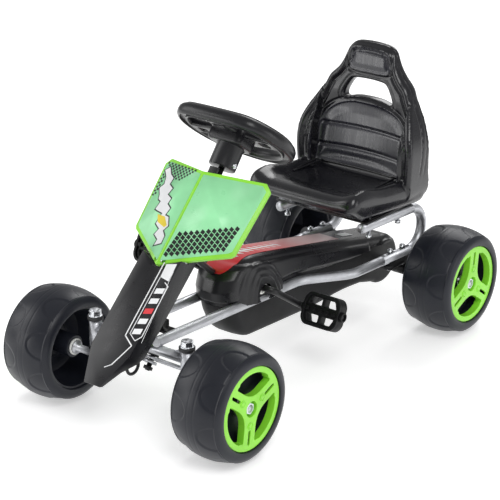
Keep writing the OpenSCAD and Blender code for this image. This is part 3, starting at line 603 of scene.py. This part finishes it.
def half_case(obj, gap, upper):
    """Turns the solid case into a hollow upper or lower half."""
    dome_front(obj)
    cut_above(obj, gap, upper)
    modify(obj, "SOLIDIFY", thickness=CASE_SKIN * MM, offset=-1)
    with_modifiers(obj)
    finish_mesh(obj.data, 45)


def chain_case():
    ridge = [(158, 150), (156, 166), (163, 186), (176, 199), (192, 204), (215, 202), (245, 196), (318, 183),
             (430, 160), (545, 135), (550, 114), (420, 134), (330, 150), (200, 150)]
    # Raised layers on the cover's sides: outline, half width, bevel and segments
    layers = [(circle((WHEELBASE, WHEEL_R), 37, 60), 39, 3, 4),
              (ridge, 41, 6, 5),
              (arc(CRANK_ARCH, 62.5, 195, 34, 26) + [(297, 149), (297.5, 128), (290, 120), (180, 124)], 45, 4,
               4),
              (arc(CRANK_ARCH, 54, 190, 36, 26) + [(285, 146), (285, 126), (180, 126)], 49, 3, 4),
              (arc(CRANK_ARCH, 44.5, 188, 30, 26) + [(275, 142), (274, 128), (188, 128)], 52.5, 3, 4)]
    raised = [side_slab("layer", outline, half, bevel, segments=n) for outline, half, bevel, n in layers]
    cover = fused(case_solids(11) + raised, "chain_case_cover_skin", 1.8, 3)
    half_case(cover, 0.4, True)
    # Room for the crank's bearings on both sides
    carve(cover, [side_slab("notch", circle((240, 150), 16, 24), 8, 0, x=s * 52) for s in (-1, 1)])
    piece(cover, "black", "frame", ["chain_case_cover"])
    tray = fused(case_solids(9), "chain_case_tray_skin", 1.8, 3)
    for v in tray.data.vertices:
        y, z = v.co.y / MM - FRONT_Y, v.co.z / MM
        v.co.z -= TRAY_SAG * MM * float(ease(120 - z, 0, 42) * (1 - ease(y, 360, 500)))
    half_case(tray, -0.4, False)
    piece(tray, "black_satin", "frame", ["chain_case_tray"])


# ---- seat

BACK_FOOT = (560.0, 240.0)
LEAN = math.tan(math.radians(8.8))
PAN_FRONT, PAN_BACK = 392, 606

BACK_EDGE = [(0, 212), (64, 212), (98, 216), (112, 232), (117, 260), (118.5, 300), (115, 326), (107, 350),
             (96, 372),
             (88, 390), (80, 406), (66, 420), (57, 434), (51, 448), (45, 460), (34, 468), (16, 470.5),
             (0, 471)]
GRAB_EDGE = [(0, 377.5), (26, 376), (46, 371.5), (48.5, 379), (43, 391), (35.5, 402), (29, 406), (14, 407.6),
             (0, 408)]
PANEL_EDGE = [(0, 258), (60, 258), (90, 257), (93, 266), (93, 300), (90, 322), (82, 341), (66, 356),
              (44, 366), (22, 370.5),
              (0, 371)]
HEAD_EDGE = [(0, 421), (24, 421), (38, 423), (41.5, 432), (41, 446), (37.5, 459), (24, 463), (0, 464)]


def both_sides(half):
    """A closed symmetrical outline from its right half."""
    return half + [(-x, z) for x, z in reversed(half) if x > 0.01]


def smooth_outline(points, n=5):
    """A closed Catmull-Rom curve through the points."""
    out = []
    count = len(points)
    for i in range(count):
        p0, p1, p2, p3 = (Vector(points[(i + k) % count]) for k in (-1, 0, 1, 2))
        for k in range(n):
            t = k / n
            out.append(tuple(0.5 * (2 * p1 + (p2 - p0) * t + (2 * p0 - 5 * p1 + 4 * p2 - p3) * t * t
                                    + (3 * p1 - p0 - 3 * p2 + p3) * t**3)))
    return out


def seat_edge(half):
    """A smooth symmetrical outline on the backrest, from its right half."""
    return smooth_outline(both_sides(half))


def edge_distance(points, outline):
    """Signed distance from each (x, z) to a closed outline, positive inside."""
    p = np.asarray(points, float)
    a = np.asarray(outline, float)
    b = np.roll(a, -1, axis=0)
    best = np.full(len(p), 1e9)
    inside = np.zeros(len(p), bool)
    for (ax, az), (bx, bz) in zip(a, b):
        dx, dz = bx - ax, bz - az
        t = np.clip(((p[:, 0] - ax) * dx + (p[:, 1] - az) * dz) / (dx * dx + dz * dz + 1e-12), 0, 1)
        best = np.minimum(best, np.hypot(p[:, 0] - ax - t * dx, p[:, 1] - az - t * dz))
        crosses = (az > p[:, 1]) != (bz > p[:, 1])
        reach = ax + (p[:, 1] - az) * dx / (dz if abs(dz) > 1e-9 else 1e-9)
        inside ^= crosses & (p[:, 0] < reach)
    return np.where(inside, best, -best)


def hump(d, centre, half):
    """A smooth bump of height 1 at centre that is gone beyond half."""
    t = np.clip(np.abs(d - centre) / half, 0, 1)
    return (1 - t * t) ** 2


def ease(d, start, end):
    t = np.clip((d - start) / (end - start), 0, 1)
    return t * t * (3 - 2 * t)


def back_slab(name, outlines, depth, bevel, front):
    """A slab on the leaning backrest, its front face front mm ahead of the foot line."""
    shear = Matrix(((1, 0, 0, 0), (0, LEAN, 1, 0), (0, 1, 0, 0), (0, 0, 0, 1)))
    shift = Matrix.Translation(at(0, BACK_FOOT[0] - front + depth / 2 - LEAN * BACK_FOOT[1], 0))
    return slab(name, outlines, depth, bevel, shift @ shear, 5)


def backrest():
    edge = seat_edge(BACK_EDGE)
    grab = seat_edge(GRAB_EDGE)
    core = back_slab("back_core", [edge, grab], 26, 8, 2)
    # The wings are cut to the backrest's outline
    wing = [(546, 240), (543, 262), (543, 296), (548, 330), (561, 356), (575, 378), (590, 398), (604, 380),
            (600, 330),
            (598, 280), (606, 236), (596, 218), (562, 216), (548, 226)]
    parts = [core]
    for s in (-1, 1):
        one = side_slab("wing", smooth_outline(wing), 15, 3, x=s * 104, segments=5)
        prism = back_slab("wing_limit", [edge], 160, 12, 80)
        modify(one, "BOOLEAN", operation="INTERSECT", solver="EXACT", object=prism)
        with_modifiers(one)
        bpy.data.objects.remove(prism)
        parts.append(one)
    return parts


def pan_ring(y):
    """One cross-section of the seat pan, a closed ring of points."""
    nose = clamp((y - PAN_FRONT) / 20)
    tail = clamp((PAN_BACK - y) / 14)
    swell = math.sqrt(max(0.0, 1 - (1 - nose) ** 2)) * math.sqrt(max(0.0, 1 - (1 - tail) ** 2))
    along = (y - PAN_FRONT) / (PAN_BACK - PAN_FRONT)
    half = 95 + 15 * swell + 3 * along
    middle_z = 250 - 11 * along
    back_of_roll = float(ease(y, 412, 475))
    dish = middle_z + (267 - 15 * back_of_roll - 3 * along - middle_z) * swell
    wing = middle_z + (272 + 8 * math.exp(-((y - 436) / 34) ** 2) - 17 * along**1.3 - middle_z) * swell
    low = middle_z - (middle_z - (243 - 15 * float(ease(y, 400, 438)) - 19 * along)) * swell
    # Fractions of the half width and of the height: dish to wing, then foot to wing
    top = [(0.0, 0), (0.2, 0), (0.38, 0.01), (0.5, 0.04), (0.6, 0.12), (0.68, 0.27), (0.75, 0.52),
           (0.81, 0.78),
           (0.87, 0.96), (0.92, 0.97)]
    flank = [(0.965, 0.86), (0.99, 0.70), (1.0, 0.50), (0.985, 0.30), (0.95, 0.13), (0.89, 0.03), (0.80, 0.0),
             (0.5, -0.03),
             (0.25, -0.05), (0, -0.06)]
    ring = [(f * half, dish + (wing - dish) * g) for f, g in top]
    ring += [(f * half, low + (wing - low) * g) for f, g in flank]
    left = [(-x, z) for x, z in reversed(ring) if x > 0.01]
    return [at(x, y, z) for x, z in ring + left]


def seat_pan():
    steps = [392.3, 393.5, 395.5, 398, 401, 405, 410, 416, 424, 434, 448, 464, 482, 500, 518, 536, 554, 572,
             586, 596,
             601, 604, 605.6]
    pan = loft("seat_pan", [pan_ring(y) for y in steps], caps=True)
    base = side_slab("seat_base", [(440, 250), (452, 214), (585, 206), (590, 250)], 88, 4)
    return [pan, base]


def sculpt_back(obj):
    """Moulds the rim roll, bolsters, seams and channels into the front of the backrest."""
    mesh = obj.data
    co, normal = read(mesh.vertices, "co"), read(mesh.vertices, "normal")
    x, y, z = co[:, 0] / MM, co[:, 1] / MM - FRONT_Y, co[:, 2] / MM
    flat = np.stack([x, z], 1)
    edge = edge_distance(flat, seat_edge(BACK_EDGE))
    grab = -edge_distance(flat, seat_edge(GRAB_EDGE))
    panel = edge_distance(flat, seat_edge(PANEL_EDGE))
    head = edge_distance(flat, seat_edge(HEAD_EDGE))
    on_back = ease(z, 246, 262) * ease(y, 520, 535)
    facing = ease(-normal[:, 1], 0.05, 0.6) * on_back
    # Concave in plan: the middle sits deeper than the wings
    hollow = 11 * (1 - np.clip(np.abs(x) / 92, 0, 1) ** 2.2) * ease(z, 250, 275) * (1 - ease(z, 345, 385))
    rim = hump(edge, 6.5, 7.5) * 3.2
    groove = -hump(edge, 15.5, 3.2) * 2.4
    inner = -hump(panel, -4.5, 3.4) * 2.6 - hump(head, -3.6, 3.0) * 2.0
    piping = hump(panel, 1.8, 2.6) * 1.9 + hump(head, 1.6, 2.4) * 1.2
    pillow = ease(panel, 4, 22) * 2.6 + ease(head, 3, 14) * 2.2
    inside = ease(panel, 2, 5)
    sag = 1.5 * (1 - (x / 92) ** 2)
    channels = -(hump(z, 322 + sag, 4.6) + hump(z, 285 + sag, 4.6)) * 3.4 * inside
    lips = -hump(grab, 7.5, 2.4) * 1.1 * (1 - ease(panel, -3, 0)) * (1 - ease(head, -3, 0))
    raise_by = -hollow + (rim + groove + inner + piping + pillow + channels + lips)
    co[:, 1] -= raise_by * facing * MM
    # Two parting grooves round the shell's sides
    sideways = ease(np.hypot(normal[:, 0], normal[:, 2]), 0.75, 0.95) * ease(z, 262, 275) * (edge < 9)
    depth = y - (BACK_FOOT[0] + LEAN * (z - BACK_FOOT[1]))
    cut = hump(depth, 7.0, 1.9) * 1.5 + hump(depth, 19.0, 1.7) * 1.1
    co[:, 0] -= normal[:, 0] * cut * sideways * MM
    co[:, 2] -= normal[:, 2] * cut * sideways * MM
    # The headrest is thinner than the rest
    behind = np.clip(depth - 4, 0, None) * 0.42 * ease(z, 412, 452)
    co[:, 1] -= behind * MM
    mesh.vertices.foreach_set("co", co.ravel())
    mesh.update()
    finish_mesh(mesh, 60)


def split_panels(obj):
    """Gives the grained panels one material and the smooth mouldings the other."""
    mesh = obj.data
    mesh.materials.append(MATS["seat_frame"])
    centre, normal = read(mesh.polygons, "center"), read(mesh.polygons, "normal")
    flat = np.stack([centre[:, 0] / MM, centre[:, 2] / MM], 1)
    panel = edge_distance(flat, seat_edge(PANEL_EDGE))
    head = edge_distance(flat, seat_edge(HEAD_EDGE))
    grained = ((panel > 1) | (head > 1)) & (normal[:, 1] < -0.2) & (centre[:, 1] / MM - FRONT_Y > 540)
    mesh.polygons.foreach_set("material_index", np.where(grained, 0, 1).astype(np.int32))


def seat():
    skin = fused(backrest() + seat_pan(), "seat_moulding", 1.9, 6)
    sculpt_back(skin)
    piece(skin, "seat", "frame", ["seat_shell"])
    split_panels(skin)
    # A bead along the foot of the backrest
    foot = [(-98, 262), (-92, 257.5), (-60, 258), (0, 259), (60, 258), (92, 257.5), (98, 262)]
    piece(tube_on("seat_foot_bead", skin, foot, 1.9), "seat_frame", "frame")


def tube_on(name, skin, line, r):
    """A thin bead that lies on the front of the backrest along a line of (x, z)."""
    tree = BVHTree.FromObject(skin, bpy.context.evaluated_depsgraph_get())
    points = []
    for (x0, z0), (x1, z1) in zip(line, line[1:]):
        for k in range(8):
            t = k / 8
            x, z = x0 + (x1 - x0) * t, z0 + (z1 - z0) * t
            hit = tree.ray_cast(at(x, 480, z), Vector((0, 1, 0)))[0]
            if hit:
                points.append(hit)
    return tube(name, points, r)


def tube(name, points, r, segments=10):
    """A round bar of radius r mm along points in metres."""
    rings = []
    for i, p in enumerate(points):
        ahead = points[min(i + 1, len(points) - 1)] - points[max(i - 1, 0)]
        axis = ahead.normalized()
        side = axis.cross(Vector((0, 0, 1)))
        if side.length < 0.1:
            side = axis.cross(Vector((1, 0, 0)))
        side.normalize()
        up = side.cross(axis)
        rings.append([p + (side * math.cos(a) + up * math.sin(a)) * r * MM
                      for a in (2 * math.pi * k / segments for k in range(segments))])
    return loft(name, rings, caps=True, angle=60)


# ---- steering wheel

COLUMN_SLOPE = math.radians(52)
COLUMN_FOOT = (7, 120)
STEER_PLANE = 366
BOSS_START = 305
RIM_RING, FLAT_FROM, FLAT_REACH = 87, 50, 18


def on_column(t):
    """Local Z runs up the steering column, X sideways, t mm from the column's foot."""
    foot = at(0, COLUMN_FOOT[0] + t * math.cos(COLUMN_SLOPE), COLUMN_FOOT[1] + t * math.sin(COLUMN_SLOPE))
    return Matrix.Translation(foot) @ Matrix.Rotation(COLUMN_SLOPE - math.pi / 2, 4, "X")


def flatten_front(obj, plane):
    """Turns the round steering wheel into a D, flat towards the front."""
    back = plane.inverted()
    for v in obj.data.vertices:
        p = back @ v.co / MM
        r = max(1.0, math.hypot(p.x, p.y))
        over = -RIM_RING * p.y / r - FLAT_FROM
        if over > 0:
            p.y += (over - FLAT_REACH * math.tanh(over / FLAT_REACH)) * float(ease(r, 30, 80))
            v.co = plane @ (p * MM)


def steering_wheel():
    plane = on_column(STEER_PLANE)
    rim = revolved("wheel_rim", [(98, -2), (97.3, 3.5), (94.6, 7.8), (91, 10.1), (87.5, 10.8), (83, 10.2),
                                 (79, 7.8), (76, 3.8),
                                 (75, -1.5), (76, -6.5), (78.4, -9.8), (81.4, -10.4), (82.6, -7), (90.6, -7),
                                 (91.8, -10.4), (94.8, -9.6), (97.2, -6.6)], 200, plane, angle=40)
    ridge = revolved("wheel_ridge", [(88.6, 9.8), (88.6, 12.1), (86.4, 12.1), (86.4, 9.8)], 200, plane,
                     angle=40)
    parts = []
    for turn in (0, 180, 270):
        spin = plane @ spun(turn)
        arm = rounded([(8, -25), (40, -21), (60, -15), (84, -17), (84, 17), (60, 15), (40, 21), (8, 25)], 8)
        slot = rounded([(52, -6.5), (67, -7.5), (67, 7.5), (52, 6.5)], 3)
        parts.append(slab("arm", [arm, slot], 12, 4, spin @ lift(-4), 3))
        rib = rounded([(20, -17), (56, -10), (56, 10), (20, 17)], 4)
        parts.append(slab("arm_rib", [rib], 6, 2, spin @ lift(3), 3))
    hub = rounded([(-33, -28), (33, -28), (37, 8), (20, 27), (-20, 27), (-37, 8)], 12)
    parts.append(slab("hub", [hub], 27, 5, plane @ lift(-11), 4))
    pad = rounded([(-25, -21), (25, -21), (28, 6), (15, 20), (-15, 20), (-28, 6)], 9)
    parts.append(slab("pad", [pad], 8, 3, plane @ lift(3.2), 4))
    boss = on_column(BOSS_START)
    parts.append(revolved("boss", [(5.2, 0), (20, 0), (21.6, 0.8), (22, 2.5), (22, 34), (24.5, 38), (26, 44),
                                   (5.2, 44)], 64, boss))
    wheel = merged([rim, ridge] + parts, "steering_wheel_moulding")
    flatten_front(wheel, plane)
    finish_mesh(wheel.data, 40)
    piece(wheel, "black", "steering", ["steering_wheel"])
    cap = revolved("steering_cap_disc", [(0.01, 8.2), (12, 8.0), (15.5, 7.2), (16.5, 5.6), (16.5, 4.4),
                                         (18.2, 4.2), (19.2, 3.2),
                                         (19.4, 0.4), (0.01, 0.4)], 64, plane @ lift(3.4))
    piece(cap, "black_satin", "steering", ["steering_cap"])
    for s in (-1, 1):
        spot = on_column(BOSS_START + 8) @ Matrix.Translation((s * 21.6 * MM, 0,
                                                               0)) @ Matrix.Rotation(s * math.pi / 2, 4, "Y")
        head = [(0.01, 1.2), (1.4, 1.2), (1.6, 2.4), (3.6, 2.2), (4.6, 1.2), (4.8, 0), (0.01, 0)]
        piece(revolved(f"boss_screw_{s + 1}", head, 24, spot), "zinc", "steering")


# ---- pedals

PEDAL_TILT = math.radians(64)
PEDAL_HALF = 35
COLLAR = 5


def pedals():
    for side_name in ("left", "right"):
        c = middle("pedal_" + side_name)
        turn = Matrix.Translation(c * MM) @ Matrix.Rotation(PEDAL_TILT, 4, "X")
        outline = rounded([(-35, -17), (-27, -27), (27, -27), (35, -17), (35, 17), (27, 27), (-27, 27),
                           (-35, 17)], 6, 5)
        inner = rounded([(-30, -15), (-24, -22.5), (24, -22.5), (30, -15), (30, 15), (24, 22.5), (-24, 22.5),
                         (-30, 15)], 4, 4)
        holes = []
        for v in (-1, 1):
            holes.append(rounded([(-26.5, v * 8), (-2.8, v * 8), (-2.8, v * 20), (-21, v * 20)], 2.5, 4))
            holes.append(rounded([(2.8, v * 8), (26.5, v * 8), (21, v * 20), (2.8, v * 20)], 2.5, 4))
        parts = [slab("tread", [outline] + holes, 16, 1.2, turn)]
        for face in (-1, 1):
            spot = turn @ lift(face * 9)
            parts.append(slab("border", [outline, inner], 4, 0.9, spot))
            for u in (-26, -13, 0, 13, 26):
                stud = rounded([(u - 3.4, -3.0), (u + 3.4, -3.0), (u + 3.4, 3.0), (u - 3.4, 3.0)], 1.4, 3)
                parts.append(slab("stud", [stud], 5, 0.8, spot))
        block = merged(parts, "pedal_tread_" + side_name, 40)
        piece(block, "black_satin", "pedal_" + side_name, ["pedal_" + side_name])
        axle = turn @ Matrix.Rotation(math.pi / 2, 4, "Y")
        for end in (-1, 1):
            collar = revolved(f"pedal_collar_{side_name}_{end + 1}",
                              [(5.6, 0), (7.6, 0), (8.2, 0.8), (8.2, 4.2), (7.4, 5), (5.6, 5)], 32,
                              axle @ lift(PEDAL_HALF if end > 0 else -PEDAL_HALF - COLLAR))
            piece(collar, "black_satin", "pedal_" + side_name)


# ---- printed films

PLATE_FOOT = (37.8, 250.6)
PLATE_SLOPE = math.radians(45.8)
PLATE_SWEEP = math.radians(19.5)
NOSE_TIP = (-110, 108)
NOSE_SLOPE = math.radians(43)
DIAMOND_PITCH = 8.8
CHECK_WIDE, CHECK_HIGH = 5.0, 3.6


def plate_place(s, up):
    """Places (u, v) shapes on one half of the number plate: u outwards, v up the plate."""
    tilt = Matrix.Rotation(PLATE_SLOPE, 4, "X") @ Matrix.Rotation(PLATE_SWEEP, 4, "Y")
    spot = Matrix.Translation(at(0, PLATE_FOOT[0], PLATE_FOOT[1])) @ tilt @ lift(up)
    return Matrix.Diagonal((s, 1, 1, 1)) @ spot


def nose_place(up):
    """Places (u, v) shapes on the nose: u sideways, v up the slope from its tip."""
    return (Matrix.Translation(at(0, NOSE_TIP[0], NOSE_TIP[1])) @ Matrix.Rotation(NOSE_SLOPE, 4, "X")
            @ lift(up))


def films(name, shapes, thickness, where, mat, shrink=0.0):
    """Thin printed shapes, one mesh."""
    sheets = [slab(f"{name}_{i}", [shape], thickness, 0, where, shrink=shrink) for i,
              shape in enumerate(shapes)]
    obj = merged(sheets, name)
    bm = bmesh.new()
    bm.from_mesh(obj.data)
    clean(bm)
    bm.to_mesh(obj.data)
    bm.free()
    finish_mesh(obj.data, 40)
    piece(obj, mat, "frame")


def inside(point, outline):
    return edge_distance([point], outline)[0] > 0


def plate_films():
    # A band of diamonds along the lower edge of the left panel
    along = Vector((96, 51)).normalized()
    across = along * DIAMOND_PITCH
    rise = Vector((-along.y, along.x))
    shapes = []
    for row in range(6):
        for col in range(-1, 14):
            c = Vector((7, 20.5)) + across * (col + 0.5 * (row % 2)) + rise * 6.0 * row
            if 6.5 < c.x < 93 and c.x < 90 + 0.9 * row:
                corners = ((1, 0), (0, 1), (-1, 0), (0, -1))
                shapes.append([tuple(c + across * 0.45 * a + rise * 4.6 * b) for a, b in corners])
    films("plate_diamonds_left", shapes, 0.3, plate_place(1, 0.55), "ink")
    # Checks across the top and down the outer edge of the right panel
    top = [(101, 176), (16, 165), (52, 142), (76, 150), (99, 161)]
    outer = [(99, 156), (105, 152), (104, 112), (95, 112), (90, 148)]
    squares = []
    for i in range(20):
        for j in range(20):
            u = 8 + i * CHECK_WIDE
            v = 102 + j * CHECK_HIGH + 0.13 * i * CHECK_WIDE
            if (i + j) % 2 == 0 and (inside((u + 2, v + 1.6), top) or inside((u + 2, v + 1.6), outer)):
                squares.append([(u, v), (u + 4.6, v + 0.6), (u + 4.6, v + 3.9), (u, v + 3.3)])
    films("plate_checks_right", squares, 0.3, plate_place(-1, 0.55), "ink")
    # A generic zigzag flash with a dark edge in place of any lettering, a part of it yellow
    flash = [(90, 168), (104, 160), (90, 147), (86, 136), (94, 128), (84, 116), (80, 107), (72, 104),
             (76, 90), (66, 87), (52, 84),
             (55, 66), (40, 58), (45, 48), (30, 40), (31, 28), (11, 34), (12, 49), (22, 57), (15, 65),
             (27, 82), (37, 84),
             (33, 96), (46, 103), (44, 113), (58, 119), (53, 130), (67, 137), (65, 148), (78, 155)]
    films("plate_flash_edge", [flash], 0.25, plate_place(-1, 0.62), "ink")
    films("plate_flash", [flash], 0.3, plate_place(-1, 0.72), "white_ink", shrink=2.1)
    films("plate_flash_core", [[(60, 83), (38, 80), (22, 66), (26, 62), (38, 66), (50, 70)]], 0.3,
          plate_place(-1, 0.95),
          "yellow_ink")


def stroke(points, width):
    """Quads that draw a line of the given width through 2-D points."""
    quads = []
    for p, q in zip(points, points[1:]):
        along = (Vector(q) - Vector(p)).normalized()
        off = Vector((-along.y, along.x)) * width / 2
        a, b = Vector(p) - along * width * 0.4, Vector(q) + along * width * 0.4
        quads.append([tuple(a + off), tuple(b + off), tuple(b - off), tuple(a - off)])
    return quads


def nose_films():
    """White outlines and plain blocks, one of them red, on the nose's upper face, and a white painted
    highlight along its side fold.
    """
    white = stroke([(10.5, 213), (12, 87), (31, 75.5)], 1.9) + stroke([(31.5, 74.5), (16, 39)], 1.9)
    white += [[(15.5, 212), (33, 217), (34.5, 187), (17, 190)]]
    white += stroke([(17, 189), (18, 92)], 1.2) + stroke([(30, 183.5), (38.5, 179)],
                                                         1.4) + stroke([(38.5, 178), (40.5, 93)], 1.4)
    white += stroke([(40, 92), (33, 84)], 1.4) + stroke([(17, 39), (6, 31)], 1.4) + stroke([(18.5, 92),
                                                                                            (32, 84)], 1.2)
    for k in range(5):
        v = 92 + 17.5 * k
        if k != 2:
            white.append([(21, v), (35.5, v + 4), (35.5, v + 13), (21, v + 9)])
    films("nose_stripes", white, 0.3, nose_place(0.3), "white_ink")
    films("nose_stripe_red", [[(21, 127), (35.5, 131), (35.5, 140), (21, 136)]], 0.3, nose_place(0.3),
          "red_plain")
    # A thin white line along the nose's side fold: a painted highlight, drawn with the white ink material.
    films("nose_fold_painted_highlight", stroke([(34, 204), (45.5, 84)], 0.6), 0.25, nose_place(0.3), "white_ink")


# Path over the top of the chain case, front to back, as (y, z) just above it
CASE_PATH = (arc(CASE_FRONT, CASE_R + 12, 150, 81, 14) + [(250, 222), (290, 214), (340, 203), (400, 190),
                                                          (452, 178), (500, 167), (565, 153)])


def on_case(tree, x, t):
    """The point on the case under place t of the path, x mm to the side."""
    spots = [Vector(p) for p in CASE_PATH]
    lengths = [(b - a).length for a, b in zip(spots, spots[1:])]
    left = t * sum(lengths)
    i = 0
    while i < len(lengths) - 1 and left > lengths[i]:
        left -= lengths[i]
        i += 1
    p = spots[i].lerp(spots[i + 1], left / lengths[i])
    ahead = spots[min(i + 1, len(spots) - 1)] - spots[max(i - 1, 0)]
    ahead.normalize()
    down = Vector((0, ahead.y, -ahead.x))
    if down.z > 0:
        down = -down
    hit = tree.ray_cast(at(x, p.x, p.y), down, 0.06)
    return (hit[0], -down) if hit[0] else (None, None)


def draped(name, tree, half_width, t0, t1, up, rows=60, columns=16, centre=lambda t: 0.0):
    """A thin film that follows the top of the chain case."""
    bm = bmesh.new()
    grid = []
    for i in range(rows + 1):
        t = t0 + (t1 - t0) * i / rows
        row = []
        for j in range(columns + 1):
            x = centre(t) + half_width((t - t0) / (t1 - t0)) * (2 * j / columns - 1)
            spot, out = on_case(tree, x, t)
            row.append(bm.verts.new(spot + out * up * MM) if spot else None)
        grid.append(row)
    for i in range(rows):
        for j in range(columns):
            corners = (grid[i][j], grid[i][j + 1], grid[i + 1][j + 1], grid[i + 1][j])
            if all(corners):
                bm.faces.new(corners)
    bmesh.ops.recalc_face_normals(bm, faces=bm.faces)
    obj = mesh_object(name, bm, 50)
    modify(obj, "SOLIDIFY", thickness=0.25 * MM, offset=1)
    with_modifiers(obj)
    finish_mesh(obj.data, 50)
    return obj


def case_films():
    cover = bpy.data.objects["chain_case_cover_skin"]
    tree = BVHTree.FromObject(cover, bpy.context.evaluated_depsgraph_get())

    def tongue(u):
        start = math.sqrt(max(0.0, 1 - (1 - min(1, u / 0.07)) ** 2))
        return max(0.5, 23 * start * (1 - 0.12 * u))

    film = draped("case_film", tree, tongue, 0.02, 0.80, 0.45)
    piece(film, "red", "frame", ["case_panel"])
    # Nine slanted bars in place of the lettering, then a small pale sticker
    strokes = []
    for k in range(9):
        t = 0.135 + 0.036 * k
        strokes.append(draped(f"case_stroke_{k}", tree, lambda u, k=k: 7.5 - 0.45 * k, t, t + 0.024, 0.75,
                              rows=6,
                              columns=4, centre=lambda v, t=t: 420 * (v - t) - 4))
    strokes.append(draped("case_sticker", tree, lambda u: 8.0, 0.86, 0.93, 0.45, rows=8, columns=4,
                          centre=lambda v: 2.0))
    marks = merged(strokes, "case_strokes")
    piece(marks, "white_ink", "frame")


# ---- frame rails

RAIL_X, RAIL_WIDE_X = 37.5, 84
RAIL_R, SWAGE_R = 8, 6.5
BEND_START, BEND_R, BEND_ANGLE, BEND_STEPS = 334, 60, math.radians(30), 12


def rails():
    """Two round tubes: close together in front, bent apart behind the crank and swaged at the back."""
    def spot(x, y):
        return at(x, y * math.cos(RAIL_ANGLE), RAIL_Z0 - y * math.sin(RAIL_ANGLE))

    run = (RAIL_WIDE_X - RAIL_X - 2 * BEND_R * (1 - math.cos(BEND_ANGLE))) / math.sin(BEND_ANGLE)
    end = BEND_START + 2 * BEND_R * math.sin(BEND_ANGLE) + run * math.cos(BEND_ANGLE)
    line = [(RAIL_X, y) for y in (-7.9, 60, 150, 250, 320)]
    turns = [BEND_ANGLE * k / BEND_STEPS for k in range(BEND_STEPS + 1)]
    line += [(RAIL_X + BEND_R * (1 - math.cos(a)), BEND_START + BEND_R * math.sin(a)) for a in turns]
    line += [(RAIL_WIDE_X - BEND_R * (1 - math.cos(a)), end - BEND_R * math.sin(a)) for a in reversed(turns)]
    line += [(RAIL_WIDE_X, y) for y in (470, 500, 516)]
    for name, s in (("left", 1), ("right", -1)):
        bar = tube("rail_bar_" + name, [spot(s * x, y) for x, y in line], RAIL_R, 40)
        swage = tube("rail_swage_" + name, [spot(s * RAIL_WIDE_X, y) for y in (514, 550, 590)], SWAGE_R, 32)
        rail = merged([bar, swage], "rail_" + name, 40)
        piece(rail, "silver", "frame", ["frame_rail_" + name])


# ---- carried-over CAD nodes


def both(stem):
    return [stem + "_left", stem + "_right"]


CARRIED = {
    "silver": ["front_beam", "rear_axle"] + both("kingpin_sleeve") + both("seat_bracket") + both("knuckle")
              + both("tie_rod"),
    "black_steel": ["column_lower_bracket", "column_strut", "column_foot_loop", "plate_bracket",
                    "seat_mount_plate", "steering_column", "crank", "steering_pin_nut"],
    "zinc": ["seat_bracket_bolts", "seat_bolts", "steering_bolt", "rear_nuts", "rear_hub_sleeves"]
            + both("kingpin_nut") + both("tie_rod_nuts") + both("front_nut"),
    "chain": ["drive_chain", "rear_sprocket", "chainring"],
    "nylon": ["column_bushes", "crank_bushes", "rear_axle_bushes"] + both("front_bushes"),
    "rubber": ["kingpin_bushes"],
    "lime": ["number_plate"],
    "pale": ["plate_panels"],
    "black": ["nose_fairing"],
    "black_satin": ["crank_bearing_blocks"] + both("rear_bearing"),
}
# Bevel widths in mm
SOFT_EDGES = {"nose_fairing": 1.2, "number_plate": 0.9, "plate_bracket": 0.6}
for soft in ["seat_mount_plate", "column_strut", "rear_nuts"] + both("kingpin_nut") + both("front_nut"):
    SOFT_EDGES[soft] = 0.5



def carried_nodes():
    for mat, names in CARRIED.items():
        for name in names:
            obj = NODES[name]
            obj.data.materials.clear()
            obj.data.materials.append(MATS[mat])
            for polygon in obj.data.polygons:
                polygon.material_index = 0
            finish_mesh(obj.data, 34)
            modify(obj, "WELD", merge_threshold=0.01 * MM)
            if name in SOFT_EDGES:
                modify(obj, "BEVEL", width=SOFT_EDGES[name] * MM, segments=3, limit_method="ANGLE",
                       angle_limit=math.radians(36))


# ---- stage


def studio():
    scene = bpy.context.scene
    scene.view_settings.view_transform = "Standard"
    scene.view_settings.look = "None"
    world = bpy.data.worlds.new("studio")
    scene.world = world
    world.use_nodes = True
    background = world.node_tree.nodes["Background"]
    background.inputs["Color"].default_value = (1.0, 1.0, 1.0, 1)
    background.inputs["Strength"].default_value = 0.42
    bm = bmesh.new()
    bmesh.ops.create_grid(bm, x_segments=1, y_segments=1, size=14)
    floor = mesh_object("floor", bm)
    mat, bsdf = shader("floor_paper", (0.93, 0.93, 0.93), 0.9, specular=0.1)
    bsdf.inputs["Emission Color"].default_value = (1, 1, 1, 1)
    bsdf.inputs["Emission Strength"].default_value = 0.42
    floor.data.materials.append(mat)
    # Name, place, size in metres, watts, and what it points at
    lights = [("key", (1.6, -1.2, 2.3), 1.3, 28, (0, 0, 0.2)),
              ("fill", (-2.4, -1.4, 1.6), 1.8, 26, (0, 0, 0.2)),
              ("glint", (-1.5, -2.15, 0.5), 0.9, 8, (0, 0.2, 0.3)),
              ("back", (-0.6, 2.4, 2.2), 1.8, 40, (0, 0, 0.25)),
              ("low", (2.6, 0.6, 0.7), 1.2, 9, (0, 0, 0.15))]
    for name, spot, size, power, aim in lights:
        lamp = bpy.data.lights.new(name, "AREA")
        lamp.size = size
        lamp.energy = power
        obj = bpy.data.objects.new(name, lamp)
        obj.location = spot
        obj.rotation_euler = (Vector(spot) - Vector(aim)).to_track_quat("Z", "Y").to_euler()
        scene.collection.objects.link(obj)


def camera():
    cam = bpy.data.cameras.new("camera")
    cam.lens = 138.46
    cam.sensor_width = 36
    cam.clip_end = 60
    obj = bpy.data.objects.new("camera", cam)
    obj.location = (1.7663, -2.2515, 1.3475)
    target = Vector((0, -0.02199, 0.2022))
    obj.rotation_euler = (obj.location - target).to_track_quat("Z", "Y").to_euler()
    bpy.context.scene.collection.objects.link(obj)
    bpy.context.scene.camera = obj


camera()
studio()
rails()
carried_nodes()
wheels()
chain_case()
seat()
steering_wheel()
pedals()
plate_films()
nose_films()
case_films()
